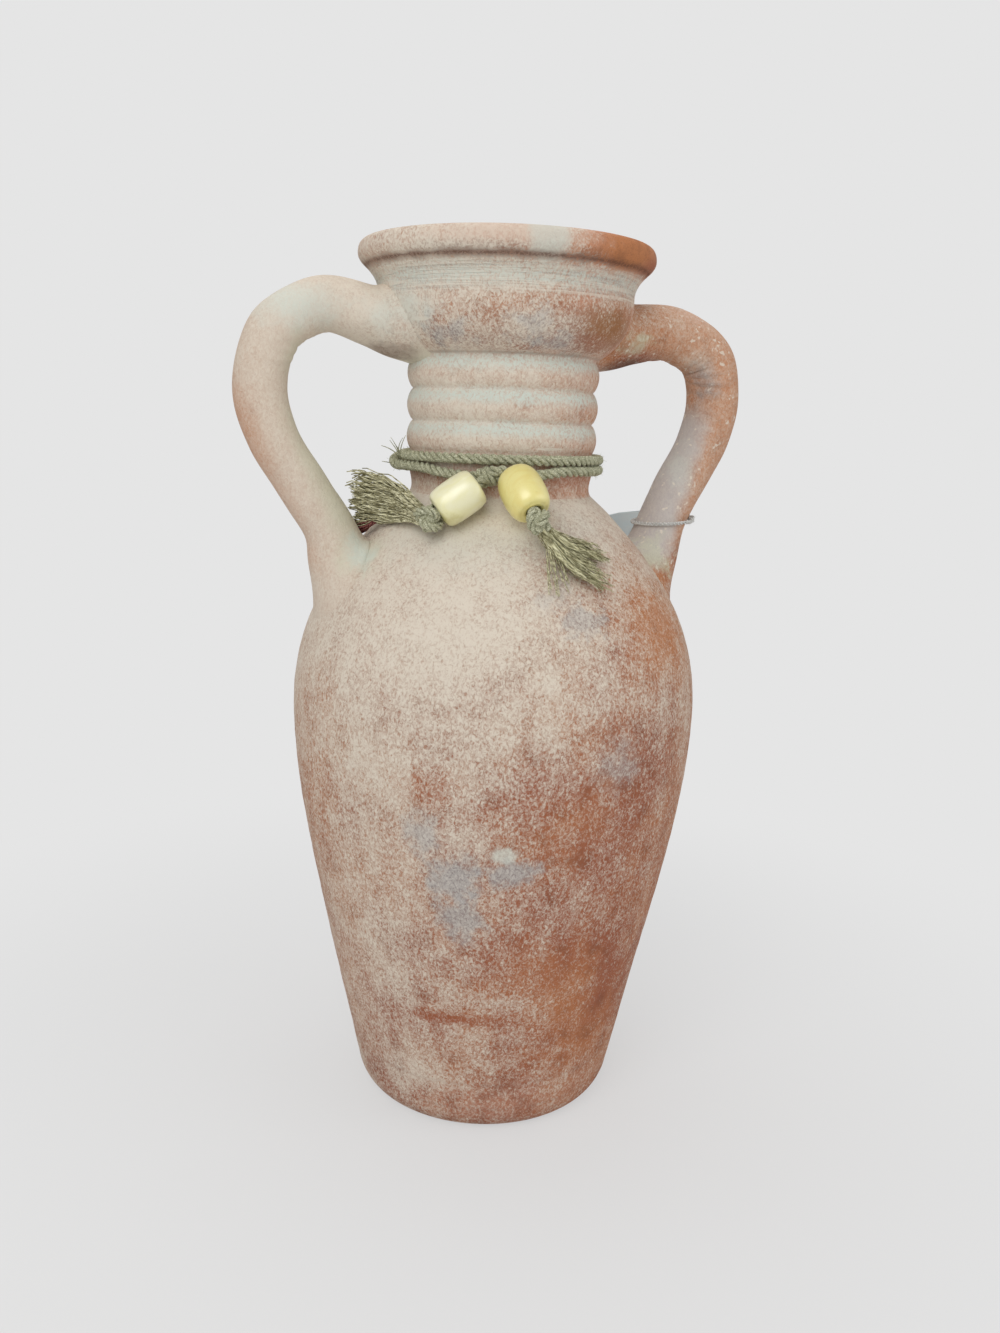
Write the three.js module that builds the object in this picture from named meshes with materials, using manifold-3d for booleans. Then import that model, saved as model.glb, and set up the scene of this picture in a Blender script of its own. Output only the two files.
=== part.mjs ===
// Two-handled terracotta vase dressed with a twine tie, two wooden beads and a small swing tag.
// Millimetres, +Z up. The origin is the middle of the flat foot, and the handles lie along X.

import * as THREE from 'three';
import { mergeVertices } from 'three/addons/utils/BufferGeometryUtils.js';
import Module from 'manifold-3d';

const wasm = await Module();
wasm.setup();

// Steps of the turned forms
const roundSteps = 48;
const curveSteps = 4;
const bodyCurveSteps = 7;
const beadSteps = 20;
const knotSteps = 12;

// Pot wall
const wall = 8;
const floorThickness = 10;
const gap = 0.3; // between pieces that meet on a curved or cut face

// Body: foot, lower wall, belly and shoulder, closed by a flat ring that carries the neck
const footRadius = 50;
const footTurn = 57.3; // where the rounding of the foot would meet the floor
const footEdgeRadius = 60.3;
const footEdgeHeight = 10;
const lowerFlare = 0.21; // outward run per unit of height above the foot
const lowerSwell = 70;
const bellyRadius = 91;
const bellyHeight = 185;
const bellyRoundBelow = 45;
const bellyRoundAbove = 48;
const shoulderSlope = 0.93; // inward run per unit of height where the shoulder meets the neck
const shoulderRun = 25;
const bodyHeight = 281;

// Neck: plain collar for the twine, three thrown ribs, bowl and rolled lip
const neckRadius = 40.3;
const collarHeight = 16;
const ribCount = 3;
const ribPitch = 13.5;
const ribDepth = 2.5;
const ribCrest = 1.5; // how far a rib stands past the collar
const ribPoints = 5;
const ribFlatness = 0.7; // below 1 for broad crests and narrow grooves
const bowlRadius = 55.1;
const bowlHeight = 22.5;
const bowlStraight = 4.5;
const bowlTurnRadius = 53.5;
const bowlTurnHeight = 6.5;
const throatHeight = 10;
const throatTurn = 0.5;
const lipRadius = 63.6;
const lipUndercut = 2;
const lipEdgeHeight = 4;
const lipTopHeight = 5.5;
const lipRoll = 4.8;
const lipWidth = 11;
const lipInnerDrop = 4;

const neckTop = bodyHeight + collarHeight + ribCount * ribPitch;
const bowlTop = neckTop + bowlHeight;
const throatBase = bowlTop + bowlStraight;
const lipUnder = throatBase + throatHeight;
const lipEdge = lipUnder + lipEdgeHeight;
const rimHeight = lipEdge + lipTopHeight;

// Handles: pulled rolls of clay, joined to the bowl and to the shoulder
const handleSteps = 30;
const handleSides = 14;
const rootSink = 9; // how far the upper end starts inside the bowl's surface
const rootDrop = 11.5; // below the bowl's widest line
const rootSpread = 7.5;
const rootRise = 2;
const rootFade = 0.1;
const footSpread = 3;
const footSwell = 0.4;
const footFade = 0.12;
const footSink = 13; // how far the lower end stops inside the shoulder's surface
const footSeat = 53; // height of the lower end below the neck seam
const leftHandle = {
  radius: 11.1,
  ankleRadius: 10.4,
  line: [[5, -8], [24, -4.5], [43.3, -15], [50.3, -37], [45.8, -57.5], [30.6, -82], [21.7, -97], [19.4, -109]],
};
const rightHandle = {
  radius: 12,
  ankleRadius: 11.2,
  line: [[6, -9], [24, -7.5], [44, -17], [49.4, -34], [45.2, -56], [31.6, -81], [26.6, -92.5], [21.8, -111]],
};
const thinningStart = 0.35; // along the handle, from the bowl
const thinningEnd = 0.75;

// Twine tie: two turns round the collar, tied in front, with both ends hanging over the shoulder
const twineDiameter = 3.8;
const twineSides = 6;
const twineTurns = 2;
const twineStepsPerTurn = 24;
const twineLower = 10.2; // height of the lower turn above the neck seam
const twinePitch = 4.4;
const crossingTurn = 75; // degrees round from the knot, on the left
const crossingLength = 34;
const humpRun = 25; // degrees over which the upper turn climbs on each side of the crossing
const humpGap = 1;
const knotLift = 0.8; // how far the twine stands off the collar beside the knot
const tieAzimuth = -116.7;

// Knot in front and the two ends below it
const knotLength = 7.6;
const knotRadius = 3.9;
const knotFace = 2.7;
const knotUp = 7.6; // above the neck seam
const tailSides = 8;
const tailSteps = 11;

// Beads: drilled wood, threaded on the ends of the twine
const beadBore = 6.2;
const leftBead = { length: 19.5, diameter: 17.3, face: 10.5, fullness: 0.62 };
const rightBead = { length: 21, diameter: 18.3, face: 9.5, fullness: 0.5 };
const faceClearance = 0.5; // between a bead and the knot that holds it

// End knots and frayed tassels
const leftEndKnot = { length: 8, radius: 6, face: 3.4 };
const rightEndKnot = { length: 8.5, radius: 4.9, face: 3.1 };
const leftTassel = { width: 22, thickness: 7, neck: 6 };
const rightTassel = { width: 22, thickness: 6, neck: 5 };
const tasselSides = 10;
const tasselSteps = 7;

// Swing tag and its string, round the foot of the right handle
const tagLength = 32;
const tagHeight = 18;
const tagThickness = 0.8;
const tagCorner = 3;
const tagHole = 4;
const tagHoleInset = 4;
const tagAzimuth = 169; // direction in which the card points away from its hole
const tagClearance = 1.15; // between its lower edge and the shoulder that its far end leans on
const tagEdgeSteps = 64;
const steepestDroop = 60; // degrees
const droopStep = 0.02;
const tagOut = 8; // hole, beyond the handle's centre line
const tagBehind = 17.5;
const tagRise = 0.2;
const stringDiameter = 1.2;
const stringSides = 8;
const stringSteps = 40;
const stringHeight = -14.5; // of the loop, from the neck seam

const degrees = Math.PI / 180;

// A closed mesh as a solid, with its shared points merged and its flat slivers dropped
function toSolid(geometry) {
  const bare = geometry.clone();
  bare.deleteAttribute('normal');
  bare.deleteAttribute('uv');
  const merged = mergeVertices(bare, 1e-4);
  const index = merged.getIndex().array;
  const kept = [];
  for (let i = 0; i < index.length; i += 3) {
    const corners = [index[i], index[i + 1], index[i + 2]];
    if (new Set(corners).size === 3) kept.push(...corners);
  }
  return new wasm.Manifold(new wasm.Mesh({
    numProp: 3,
    vertProperties: new Float32Array(merged.getAttribute('position').array),
    triVerts: new Uint32Array(kept),
  }));
}

function toGeometry(solid) {
  const mesh = solid.getMesh();
  const geometry = new THREE.BufferGeometry();
  geometry.setAttribute('position', new THREE.BufferAttribute(new Float32Array(mesh.vertProperties), 3));
  geometry.setIndex(new THREE.BufferAttribute(new Uint32Array(mesh.triVerts), 1));
  geometry.computeVertexNormals();
  return geometry;
}

// Solid of revolution about Z, from [radius, height] points that run counterclockwise
function turned(points, steps) {
  const geometry = new THREE.LatheGeometry(points.map(([r, z]) => new THREE.Vector2(r, z)), steps);
  return geometry.rotateX(Math.PI / 2);
}

// Closed tube whose rings stand on the given points. size(u) gives a ring's two half widths, with
// u running from 0 to 1 over the points, and toward(point) the direction of the first of them.
function tube(points, sides, size, toward) {
  const last = points.length - 1;
  const corners = [];
  const faces = [];
  points.forEach((centre, i) => {
    const back = points[Math.max(i - 1, 0)];
    const ahead = points[Math.min(i + 1, last)];
    const before = centre.clone().sub(back).normalize();
    const after = ahead.clone().sub(centre).normalize();
    const along = before.add(after).normalize();
    const normal = toward(centre).clone();
    normal.addScaledVector(along, -normal.dot(along)).normalize();
    const side = along.clone().cross(normal);
    const [wide, deep] = size(i / last);
    for (let j = 0; j < sides; j++) {
      const angle = 2 * Math.PI * j / sides;
      const corner = centre.clone();
      corner.addScaledVector(normal, wide * Math.cos(angle));
      corner.addScaledVector(side, deep * Math.sin(angle));
      corners.push(corner.x, corner.y, corner.z);
    }
  });
  for (let i = 0; i < last; i++) {
    for (let j = 0; j < sides; j++) {
      const a = i * sides + j;
      const b = i * sides + (j + 1) % sides;
      faces.push(a, b, b + sides, a, b + sides, a + sides);
    }
  }
  for (let j = 1; j < sides - 1; j++) {
    const end = last * sides;
    faces.push(0, j + 1, j, end, end + j, end + j + 1);
  }
  const geometry = new THREE.BufferGeometry();
  geometry.setAttribute('position', new THREE.Float32BufferAttribute(corners, 3));
  geometry.setIndex(faces);
  geometry.computeVertexNormals();
  return geometry;
}

function smooth(points, steps) {
  return new THREE.CatmullRomCurve3(points, false, 'centripetal').getSpacedPoints(steps);
}

// 0 before the span, 1 after it, with a soft start and end
function ease(value, start, end) {
  return THREE.MathUtils.smoothstep(value, start, end);
}

// Outline of the pot's outside, from the floor to the neck seam and from there to the rim
function bodyOutline(steps) {
  const path = new THREE.Path();
  path.moveTo(footRadius, 0);
  path.quadraticCurveTo(footTurn, 0, footEdgeRadius, footEdgeHeight);
  path.bezierCurveTo(
    footEdgeRadius + lowerFlare * lowerSwell, footEdgeHeight + lowerSwell,
    bellyRadius, bellyHeight - bellyRoundBelow, bellyRadius, bellyHeight);
  path.bezierCurveTo(
    bellyRadius, bellyHeight + bellyRoundAbove,
    neckRadius + shoulderSlope * shoulderRun, bodyHeight - shoulderRun, neckRadius, bodyHeight);
  return path.getPoints(steps).map((p) => [p.x, p.y]);
}

function ribOutline() {
  const points = [];
  for (let i = 1; i < ribCount * ribPoints; i++) {
    const swell = Math.abs(Math.sin(Math.PI * i / ribPoints)) ** ribFlatness;
    const radius = neckRadius + ribCrest - ribDepth * (1 - swell);
    points.push([radius, bodyHeight + collarHeight + ribPitch * i / ribPoints]);
  }
  return points;
}

function mouthOutline() {
  const path = new THREE.Path();
  path.moveTo(neckRadius, neckTop);
  path.quadraticCurveTo(bowlTurnRadius, neckTop + bowlTurnHeight, bowlRadius, bowlTop);
  path.lineTo(bowlRadius, throatBase);
  path.quadraticCurveTo(bowlRadius + throatTurn, throatBase + throatHeight / 2, lipRadius - lipUndercut, lipUnder);
  path.quadraticCurveTo(lipRadius, (lipUnder + lipEdge) / 2, lipRadius, lipEdge);
  path.quadraticCurveTo(lipRadius, rimHeight, lipRadius - lipRoll, rimHeight);
  return path.getPoints(curveSteps).map((p) => [p.x, p.y]);
}

// Inside of the neck and bowl, from the rim down to the seam
function boreOutline() {
  const path = new THREE.Path();
  const mouthRadius = lipRadius - lipWidth;
  const mouthHeight = rimHeight - lipInnerDrop;
  path.moveTo(lipRadius - lipRoll, rimHeight);
  path.quadraticCurveTo(mouthRadius, rimHeight, mouthRadius, mouthHeight);
  path.quadraticCurveTo(bowlRadius - wall, lipUnder, bowlRadius - wall, bowlTop);
  path.quadraticCurveTo(bowlTurnRadius - wall, neckTop + bowlTurnHeight, neckRadius - wall, neckTop);
  path.lineTo(neckRadius - wall, bodyHeight);
  return path.getPoints(curveSteps).slice(1).map((p) => [p.x, p.y]);
}

const bodySide = bodyOutline(bodyCurveSteps);
const neckSide = [[neckRadius, bodyHeight], [neckRadius, bodyHeight + collarHeight],
  ...ribOutline(), ...mouthOutline()];

function bodyGeometry() {
  const inside = bodySide.filter(([, z]) => z > floorThickness).map(([r, z]) => [r - wall, z]);
  return turned([[0, 0], ...bodySide, ...inside.reverse(),
    [footEdgeRadius - wall, floorThickness], [0, floorThickness]], roundSteps);
}

function neckGeometry() {
  return turned([...neckSide, ...boreOutline(), neckSide[0]], roundSteps);
}

// Surface point of the pot's body at a height, as its radius and its outward slope
function bodySurface(height) {
  const i = bodySide.findIndex(([, z]) => z >= height);
  const [r0, z0] = bodySide[i - 1];
  const [r1, z1] = bodySide[i];
  const outward = new THREE.Vector2(z1 - z0, r0 - r1).normalize();
  const radius = r0 + (r1 - r0) * (height - z0) / (z1 - z0);
  return { radius, outward };
}

// The pot's outside, grown by the gap and closed to the axis, to cut what is luted to it
function potCutter() {
  const side = [...bodySide, ...neckSide.slice(1)];
  const grown = side.map(([r, z], i) => {
    const [r0, z0] = side[Math.max(i - 1, 0)];
    const [r1, z1] = side[Math.min(i + 1, side.length - 1)];
    const outward = new THREE.Vector2(z1 - z0, r0 - r1).normalize();
    return [r + gap * outward.x, z + gap * outward.y];
  });
  return toSolid(turned([[0, -gap], ...grown, [0, rimHeight + gap]], roundSteps));
}

// Centre line of a handle on the +X side, from inside the bowl to inside the shoulder.
// Its points are given from the bowl's radius and from its widest line.
function handleLine(handle) {
  const stations = handle.line.map(([out, up]) => [bowlRadius + out, bowlTop + up]);
  const foot = bodyHeight - footSeat;
  return [
    [bowlRadius - rootSink, bowlTop - rootDrop],
    ...stations,
    [bodySurface(foot).radius - footSink, foot],
  ];
}

function handleGeometry(handle, side, pot) {
  const line = handleLine(handle).map(([x, z]) => new THREE.Vector3(side * x, 0, z));
  const size = (u) => {
    const root = Math.exp(-((u / rootFade) ** 2));
    const foot = Math.exp(-(((1 - u) / footFade) ** 2));
    const radius = THREE.MathUtils.lerp(handle.radius, handle.ankleRadius, ease(u, thinningStart, thinningEnd));
    return [
      radius + rootSpread * root + footSpread * foot,
      radius + rootRise * root + footSwell * foot,
    ];
  };
  const roll = tube(smooth(line, handleSteps), handleSides, size, () => new THREE.Vector3(0, 1, 0));
  return toGeometry(toSolid(roll).subtract(pot));
}

// Point beside the neck: turned from the tie's azimuth, out from the collar, up from the seam
function byNeck(turn, out, up) {
  const angle = (tieAzimuth + turn) * degrees;
  const radius = neckRadius + out;
  return new THREE.Vector3(radius * Math.cos(angle), radius * Math.sin(angle), bodyHeight + up);
}

// Point over the shoulder: turned from the tie's azimuth, down from the seam, lifted off the surface
function onShoulder(turn, drop, lift) {
  const { radius, outward } = bodySurface(bodyHeight - drop);
  const angle = (tieAzimuth + turn) * degrees;
  const out = radius + lift * outward.x;
  return new THREE.Vector3(out * Math.cos(angle), out * Math.sin(angle), bodyHeight - drop + lift * outward.y);
}

// Outward direction of the shoulder's surface under a point
function shoulderOutward(point) {
  const { outward } = bodySurface(Math.min(point.z, bodyHeight - gap));
  const flat = new THREE.Vector3(point.x, point.y, 0).normalize();
  return flat.multiplyScalar(outward.x).add(new THREE.Vector3(0, 0, outward.y));
}

function outwardFromAxis(point) {
  return new THREE.Vector3(point.x, point.y, 0).normalize();
}

// Knot in front of the collar, a lump whose two flat ends face along the twine
const knotCentre = byNeck(0, knotRadius + gap, knotUp);
const knotAcross = byNeck(90, 1, 0).sub(byNeck(90, 0, 0));

// A turned lump with flat ends, its axis from one point to another
function lump(start, end, faceRadius, radius, steps) {
  const length = start.distanceTo(end);
  const path = new THREE.Path();
  path.moveTo(0, 0);
  path.lineTo(faceRadius, 0);
  path.bezierCurveTo(radius, length * 0.12, radius, length * 0.88, faceRadius, length);
  path.lineTo(0, length);
  const outline = path.getPoints(curveSteps).map((p) => [p.x, p.y]);
  return alongAxis(turned(outline, steps), start, end);
}

// The knot in front, grown all round by a margin
function frontKnot(margin) {
  const half = knotAcross.clone().multiplyScalar(knotLength / 2 + margin);
  const start = knotCentre.clone().sub(half);
  const end = knotCentre.clone().add(half);
  return lump(start, end, knotFace + margin, knotRadius + margin, knotSteps);
}

function alongAxis(geometry, start, end) {
  const direction = end.clone().sub(start).normalize();
  const turn = new THREE.Quaternion().setFromUnitVectors(new THREE.Vector3(0, 0, 1), direction);
  return geometry.applyQuaternion(turn).translate(start.x, start.y, start.z);
}

// Centre line of the two turns, from the knot's left end round and back to its right end.
// Each turn rides over or under the other at the crossing, where they change level.
function twineLine() {
  const stepAngle = 360 / twineStepsPerTurn;
  const ride = (gap + twineDiameter / 2 + neckRadius) / Math.cos(Math.PI / twineStepsPerTurn) - neckRadius;
  const ends = [-1, 1].map((side) => {
    const face = knotCentre.clone().addScaledVector(knotAcross, side * (knotLength / 2 + gap));
    return [face, face.clone().addScaledVector(knotAcross, side * twineDiameter)];
  });
  const round = [];
  for (let i = 1; i < twineTurns * twineStepsPerTurn; i++) {
    const travelled = i * stepAngle;
    const turn = travelled % 360;
    const crossed = ease(turn, crossingTurn, crossingTurn + crossingLength);
    const first = travelled < 360;
    const upper = first ? crossed : 1 - crossed;
    const overlap = ease(turn, crossingTurn - humpRun, crossingTurn + crossingLength + humpRun);
    const hump = first ? Math.sin(Math.PI * overlap) : 0;
    const fromKnot = Math.min(travelled, twineTurns * 360 - travelled);
    const near = 1 - ease(fromKnot, stepAngle, 3 * stepAngle);
    const up = twineLower + twinePitch * upper + near * (knotUp - twineLower);
    round.push(byNeck(-travelled, ride + (twineDiameter + humpGap) * hump + near * knotLift, up));
  }
  return [ends[0][0], ends[0][1], ...round.slice(1, -1), ends[1][1], ends[1][0]];
}

// Least distance between points of a line that lie more than the skipped length apart along it
function leastSelfGap(points, skipped, diameter) {
  const fine = new THREE.CatmullRomCurve3(points, false, 'centripetal').getSpacedPoints(points.length * 12);
  const step = fine[0].distanceTo(fine[1]);
  const far = Math.ceil(skipped / step);
  let least = Infinity;
  for (let i = 0; i < fine.length; i++) {
    for (let j = i + far; j < fine.length; j++) {
      least = Math.min(least, fine[i].distanceTo(fine[j]));
    }
  }
  return least - diameter;
}

const twinePoints = twineLine();
console.log('least gap of the twine to itself, mm:', leastSelfGap(twinePoints, 30, twineDiameter).toFixed(2));

// Where each bead's hole starts and ends, and where its end knot lies
function threaded(holeStart, holeEnd, bead, endKnot, rise) {
  const axis = holeEnd.clone().sub(holeStart).normalize();
  const knotStart = holeStart.clone().addScaledVector(axis, bead.length + faceClearance);
  const knotEnd = knotStart.clone().addScaledVector(axis, endKnot.length);
  const beadEnd = holeStart.clone().addScaledVector(axis, bead.length);
  const tail = [
    knotCentre,
    ...rise,
    holeStart.clone().addScaledVector(axis, -twineDiameter / 3),
    holeStart.clone().addScaledVector(axis, twineDiameter / 2),
    beadEnd.clone().addScaledVector(axis, -twineDiameter),
    knotStart.clone().addScaledVector(axis, -gap),
  ];
  return { axis, holeStart, beadEnd, knotStart, knotEnd, tail };
}

const leftEnd = threaded(
  byNeck(-3.2, 11.6, 4.7), onShoulder(-16.8, 12.4, 9.5), leftBead, leftEndKnot, []);
const rightEnd = threaded(
  byNeck(13, 8.7, 9), onShoulder(18.9, 13.6, 13.7), rightBead, rightEndKnot, [byNeck(5.5, 8.9, 11.6)]);

function beadGeometry(bead, start, end) {
  const { length, diameter, face, fullness } = bead;
  const bore = beadBore / 2;
  const path = new THREE.Path();
  path.moveTo(bore, 0);
  path.lineTo(face / 2, 0);
  path.bezierCurveTo(diameter / 2, 0, diameter / 2, length * (1 - fullness) / 2, diameter / 2, length / 2);
  path.bezierCurveTo(diameter / 2, length * (1 + fullness) / 2, diameter / 2, length, face / 2, length);
  path.lineTo(bore, length);
  path.lineTo(bore, 0);
  const outline = path.getPoints(curveSteps).map((p) => [p.x, p.y]);
  return alongAxis(turned(outline, beadSteps), start, end);
}

// Each end runs out of the knot, which trims it, through its bead to its end knot
function tailGeometry(points) {
  const radius = twineDiameter / 2;
  const route = smooth(points, tailSteps);
  const cord = toSolid(tube(route, tailSides, () => [radius, radius], () => new THREE.Vector3(0, 0, 1)));
  return toGeometry(cord.subtract(toSolid(frontKnot(gap))));
}

// Frayed end: starts as wide as its knot's face and opens to a flat fan
function tasselGeometry(tassel, points, toward, endKnot) {
  const size = (u) => [
    THREE.MathUtils.lerp(tassel.neck, tassel.thickness, ease(u, 0, 0.5)) / 2,
    THREE.MathUtils.lerp(tassel.neck, tassel.width, ease(u, 0, 0.85)) / 2,
  ];
  const fan = toSolid(tube(smooth(points, tasselSteps), tasselSides, size, toward));
  return toGeometry(fan.subtract(toSolid(endKnot)));
}

function endKnotGeometry(end, endKnot, margin) {
  const start = end.knotStart.clone().addScaledVector(end.axis, -margin);
  const finish = end.knotEnd.clone().addScaledVector(end.axis, margin);
  return lump(start, finish, endKnot.face + margin, endKnot.radius + margin, knotSteps);
}

// Each tassel starts inside its end knot, which trims it
const leftTasselLine = [
  leftEnd.knotStart.clone().lerp(leftEnd.knotEnd, 0.5),
  onShoulder(-47, 10, 6.8),
  onShoulder(-68, 15.7, 15.6),
];
const rightTasselLine = [
  rightEnd.knotStart.clone().lerp(rightEnd.knotEnd, 0.5),
  onShoulder(26, 21, 7),
  onShoulder(34, 26.5, 4),
  onShoulder(41.5, 34, 3.9),
];

// The string's loop stands round the foot of the right handle, and the card hangs from it behind
function handleCentreAt(handle, height) {
  const line = handleLine(handle).map(([x, z]) => new THREE.Vector3(x, 0, z));
  return smooth(line, handleSteps * 4).findLast((p) => p.z > height);
}

const loopCentre = handleCentreAt(rightHandle, bodyHeight + stringHeight);
const tagHoleCentre = loopCentre.clone().add(new THREE.Vector3(tagOut, tagBehind, tagRise));

function tagOutline() {
  const shape = new THREE.Shape();
  const left = -tagHoleInset;
  const right = tagLength - tagHoleInset;
  const top = tagHoleInset;
  const bottom = top - tagHeight;
  shape.moveTo(left + tagCorner, bottom);
  shape.lineTo(right - tagCorner, bottom);
  shape.quadraticCurveTo(right, bottom, right, bottom + tagCorner);
  shape.lineTo(right, top - tagCorner);
  shape.quadraticCurveTo(right, top, right - tagCorner, top);
  shape.lineTo(left + tagCorner, top);
  shape.quadraticCurveTo(left, top, left, top - tagCorner);
  shape.lineTo(left, bottom + tagCorner);
  shape.quadraticCurveTo(left, bottom, left + tagCorner, bottom);
  return shape;
}

// Least distance of the card's outline from the pot's body, with its far end hanging by a droop
function tagStandOff(droop) {
  return Math.min(...tagOutline().getSpacedPoints(tagEdgeSteps).map((flat) => {
    const point = new THREE.Vector3(flat.x, 0, flat.y);
    point.applyAxisAngle(new THREE.Vector3(0, 1, 0), droop * degrees);
    point.applyAxisAngle(new THREE.Vector3(0, 0, 1), tagAzimuth * degrees).add(tagHoleCentre);
    const { radius, outward } = bodySurface(Math.min(point.z, bodyHeight - gap));
    return (Math.hypot(point.x, point.y) - radius) * outward.x;
  }));
}

// Droop at which the card, let down from above, first comes as near the shoulder as the clearance
function restingDroop() {
  let droop = -steepestDroop;
  while (droop < steepestDroop && tagStandOff(droop) > tagClearance) droop += droopStep;
  return droop;
}

const tagDroop = restingDroop();
console.log('droop of the tag, degrees:', tagDroop.toFixed(2));

function tagGeometry() {
  const shape = tagOutline();
  const hole = new THREE.Path();
  hole.absarc(0, 0, tagHole / 2, 0, 2 * Math.PI, true);
  shape.holes.push(hole);
  const card = new THREE.ExtrudeGeometry(shape, { depth: tagThickness, bevelEnabled: false, curveSegments: 3 });
  card.translate(0, 0, -tagThickness / 2).rotateZ(-tagDroop * degrees);
  card.rotateX(Math.PI / 2).rotateZ(tagAzimuth * degrees);
  return card.translate(tagHoleCentre.x, tagHoleCentre.y, tagHoleCentre.z);
}

// String: one open line that crosses in front of the handle's foot, goes round it, through the
// card's hole, back over the card's top edge and on to where it started
function stringGeometry() {
  const radius = stringDiameter / 2;
  const reach = rightHandle.ankleRadius + gap + radius;
  const at = (angle, far, up) => new THREE.Vector3(
    loopCentre.x + (reach + far) * Math.cos(angle * degrees),
    (reach + far) * Math.sin(angle * degrees),
    loopCentre.z + up);
  const through = new THREE.Vector3(Math.sin(tagAzimuth * degrees), -Math.cos(tagAzimuth * degrees), 0);
  const fromHole = (behind, up) => {
    const point = tagHoleCentre.clone().addScaledVector(through, behind);
    return point.add(new THREE.Vector3(0, 0, up));
  };
  const route = [
    at(-27, 4.6, 0.2), at(-34, 2, 0), at(-60, 1.4, 0), at(-100, 0.8, -0.6), at(-140, 1.4, -1),
    at(180, 2, -1), at(142, 1.6, -0.8), at(108, 1.6, -0.4),
    fromHole(-2.6, -0.3), fromHole(0, 0), fromHole(2.2, 0.8), fromHole(1.8, tagHoleInset + 1.4),
    fromHole(-0.6, tagHoleInset + 2.4), at(42, 4.6, 4), at(15, 2.4, 2.6), at(-10, 2, 2.2), at(-15, 4.4, 2.4),
  ];
  console.log('least gap of the string to itself, mm:', leastSelfGap(route, 5, stringDiameter).toFixed(2));
  return tube(smooth(route, stringSteps), stringSides, () => [radius, radius], () => new THREE.Vector3(0, 0, 1));
}

// Colours and finishes
const finishes = {
  terracotta: { color: 0xb9836a, roughness: 0.92, metalness: 0 },
  paleTerracotta: { color: 0xbf9c85, roughness: 0.94, metalness: 0 },
  twine: { color: 0x8c8a6c, roughness: 0.95, metalness: 0 },
  creamBead: { color: 0xe9dca6, roughness: 0.42, metalness: 0 },
  yellowBead: { color: 0xddc06a, roughness: 0.4, metalness: 0 },
  card: { color: 0xa9b4ba, roughness: 0.8, metalness: 0 },
  string: { color: 0xb9b8b2, roughness: 0.9, metalness: 0 },
};

const vase = new THREE.Group();

function add(name, geometry, finish) {
  const mesh = new THREE.Mesh(toGeometry(toSolid(geometry)), new THREE.MeshStandardMaterial(finishes[finish]));
  mesh.name = name;
  vase.add(mesh);
}

const pot = potCutter();
const twineRadius = twineDiameter / 2;

add('body', bodyGeometry(), 'terracotta');
add('neck_and_mouth', neckGeometry(), 'paleTerracotta');
add('handle_left', handleGeometry(leftHandle, -1, pot), 'paleTerracotta');
add('handle_right', handleGeometry(rightHandle, 1, pot), 'paleTerracotta');
add('neck_twine', tube(twinePoints, twineSides, () => [twineRadius, twineRadius], outwardFromAxis), 'twine');
add('front_knot', frontKnot(0), 'twine');
add('tail_left', tailGeometry(leftEnd.tail), 'twine');
add('tail_right', tailGeometry(rightEnd.tail), 'twine');
add('bead_left', beadGeometry(leftBead, leftEnd.holeStart, leftEnd.beadEnd), 'creamBead');
add('bead_right', beadGeometry(rightBead, rightEnd.holeStart, rightEnd.beadEnd), 'yellowBead');
add('end_knot_left', endKnotGeometry(leftEnd, leftEndKnot, 0), 'twine');
add('end_knot_right', endKnotGeometry(rightEnd, rightEndKnot, 0), 'twine');
add('tassel_left', tasselGeometry(
  leftTassel, leftTasselLine, outwardFromAxis, endKnotGeometry(leftEnd, leftEndKnot, gap)), 'twine');
add('tassel_right', tasselGeometry(
  rightTassel, rightTasselLine, shoulderOutward, endKnotGeometry(rightEnd, rightEndKnot, gap)), 'twine');
add('swing_tag', tagGeometry(), 'card');
add('tag_string', stringGeometry(), 'string');

export default vase;
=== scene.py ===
# Two-handled terracotta vase with a beaded twine tie. Lengths are in millimetres until a mesh is made.
import math
import random

import bpy
import numpy as np
from mathutils import Matrix, Vector, noise


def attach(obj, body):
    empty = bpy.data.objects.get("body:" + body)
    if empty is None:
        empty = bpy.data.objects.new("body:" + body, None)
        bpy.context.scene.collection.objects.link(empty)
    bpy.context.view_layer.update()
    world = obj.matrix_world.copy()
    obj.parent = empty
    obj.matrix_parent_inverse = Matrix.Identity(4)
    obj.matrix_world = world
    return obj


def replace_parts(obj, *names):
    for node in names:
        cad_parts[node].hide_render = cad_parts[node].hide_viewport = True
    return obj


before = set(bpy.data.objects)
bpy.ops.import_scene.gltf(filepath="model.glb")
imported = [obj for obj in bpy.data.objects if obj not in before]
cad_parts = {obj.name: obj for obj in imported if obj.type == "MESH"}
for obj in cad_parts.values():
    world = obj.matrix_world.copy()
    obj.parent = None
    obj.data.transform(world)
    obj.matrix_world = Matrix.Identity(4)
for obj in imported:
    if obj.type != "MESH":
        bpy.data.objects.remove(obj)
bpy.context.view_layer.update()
toMetres = 0.001
up = np.array([0.0, 0.0, 1.0])


def vec(x, y, z):
    return np.array([x, y, z], float)


def unit(v):
    return v / max(np.linalg.norm(v), 1e-9)


# curves

def bezier(*controls, steps):  # a straight or curved run, without its first point
    t = np.linspace(0, 1, steps + 1)[1:, None]
    degree = len(controls) - 1
    return list(sum(math.comb(degree, k) * (1 - t) ** (degree - k) * t ** k * np.array(control)
                    for k, control in enumerate(controls)))


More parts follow.
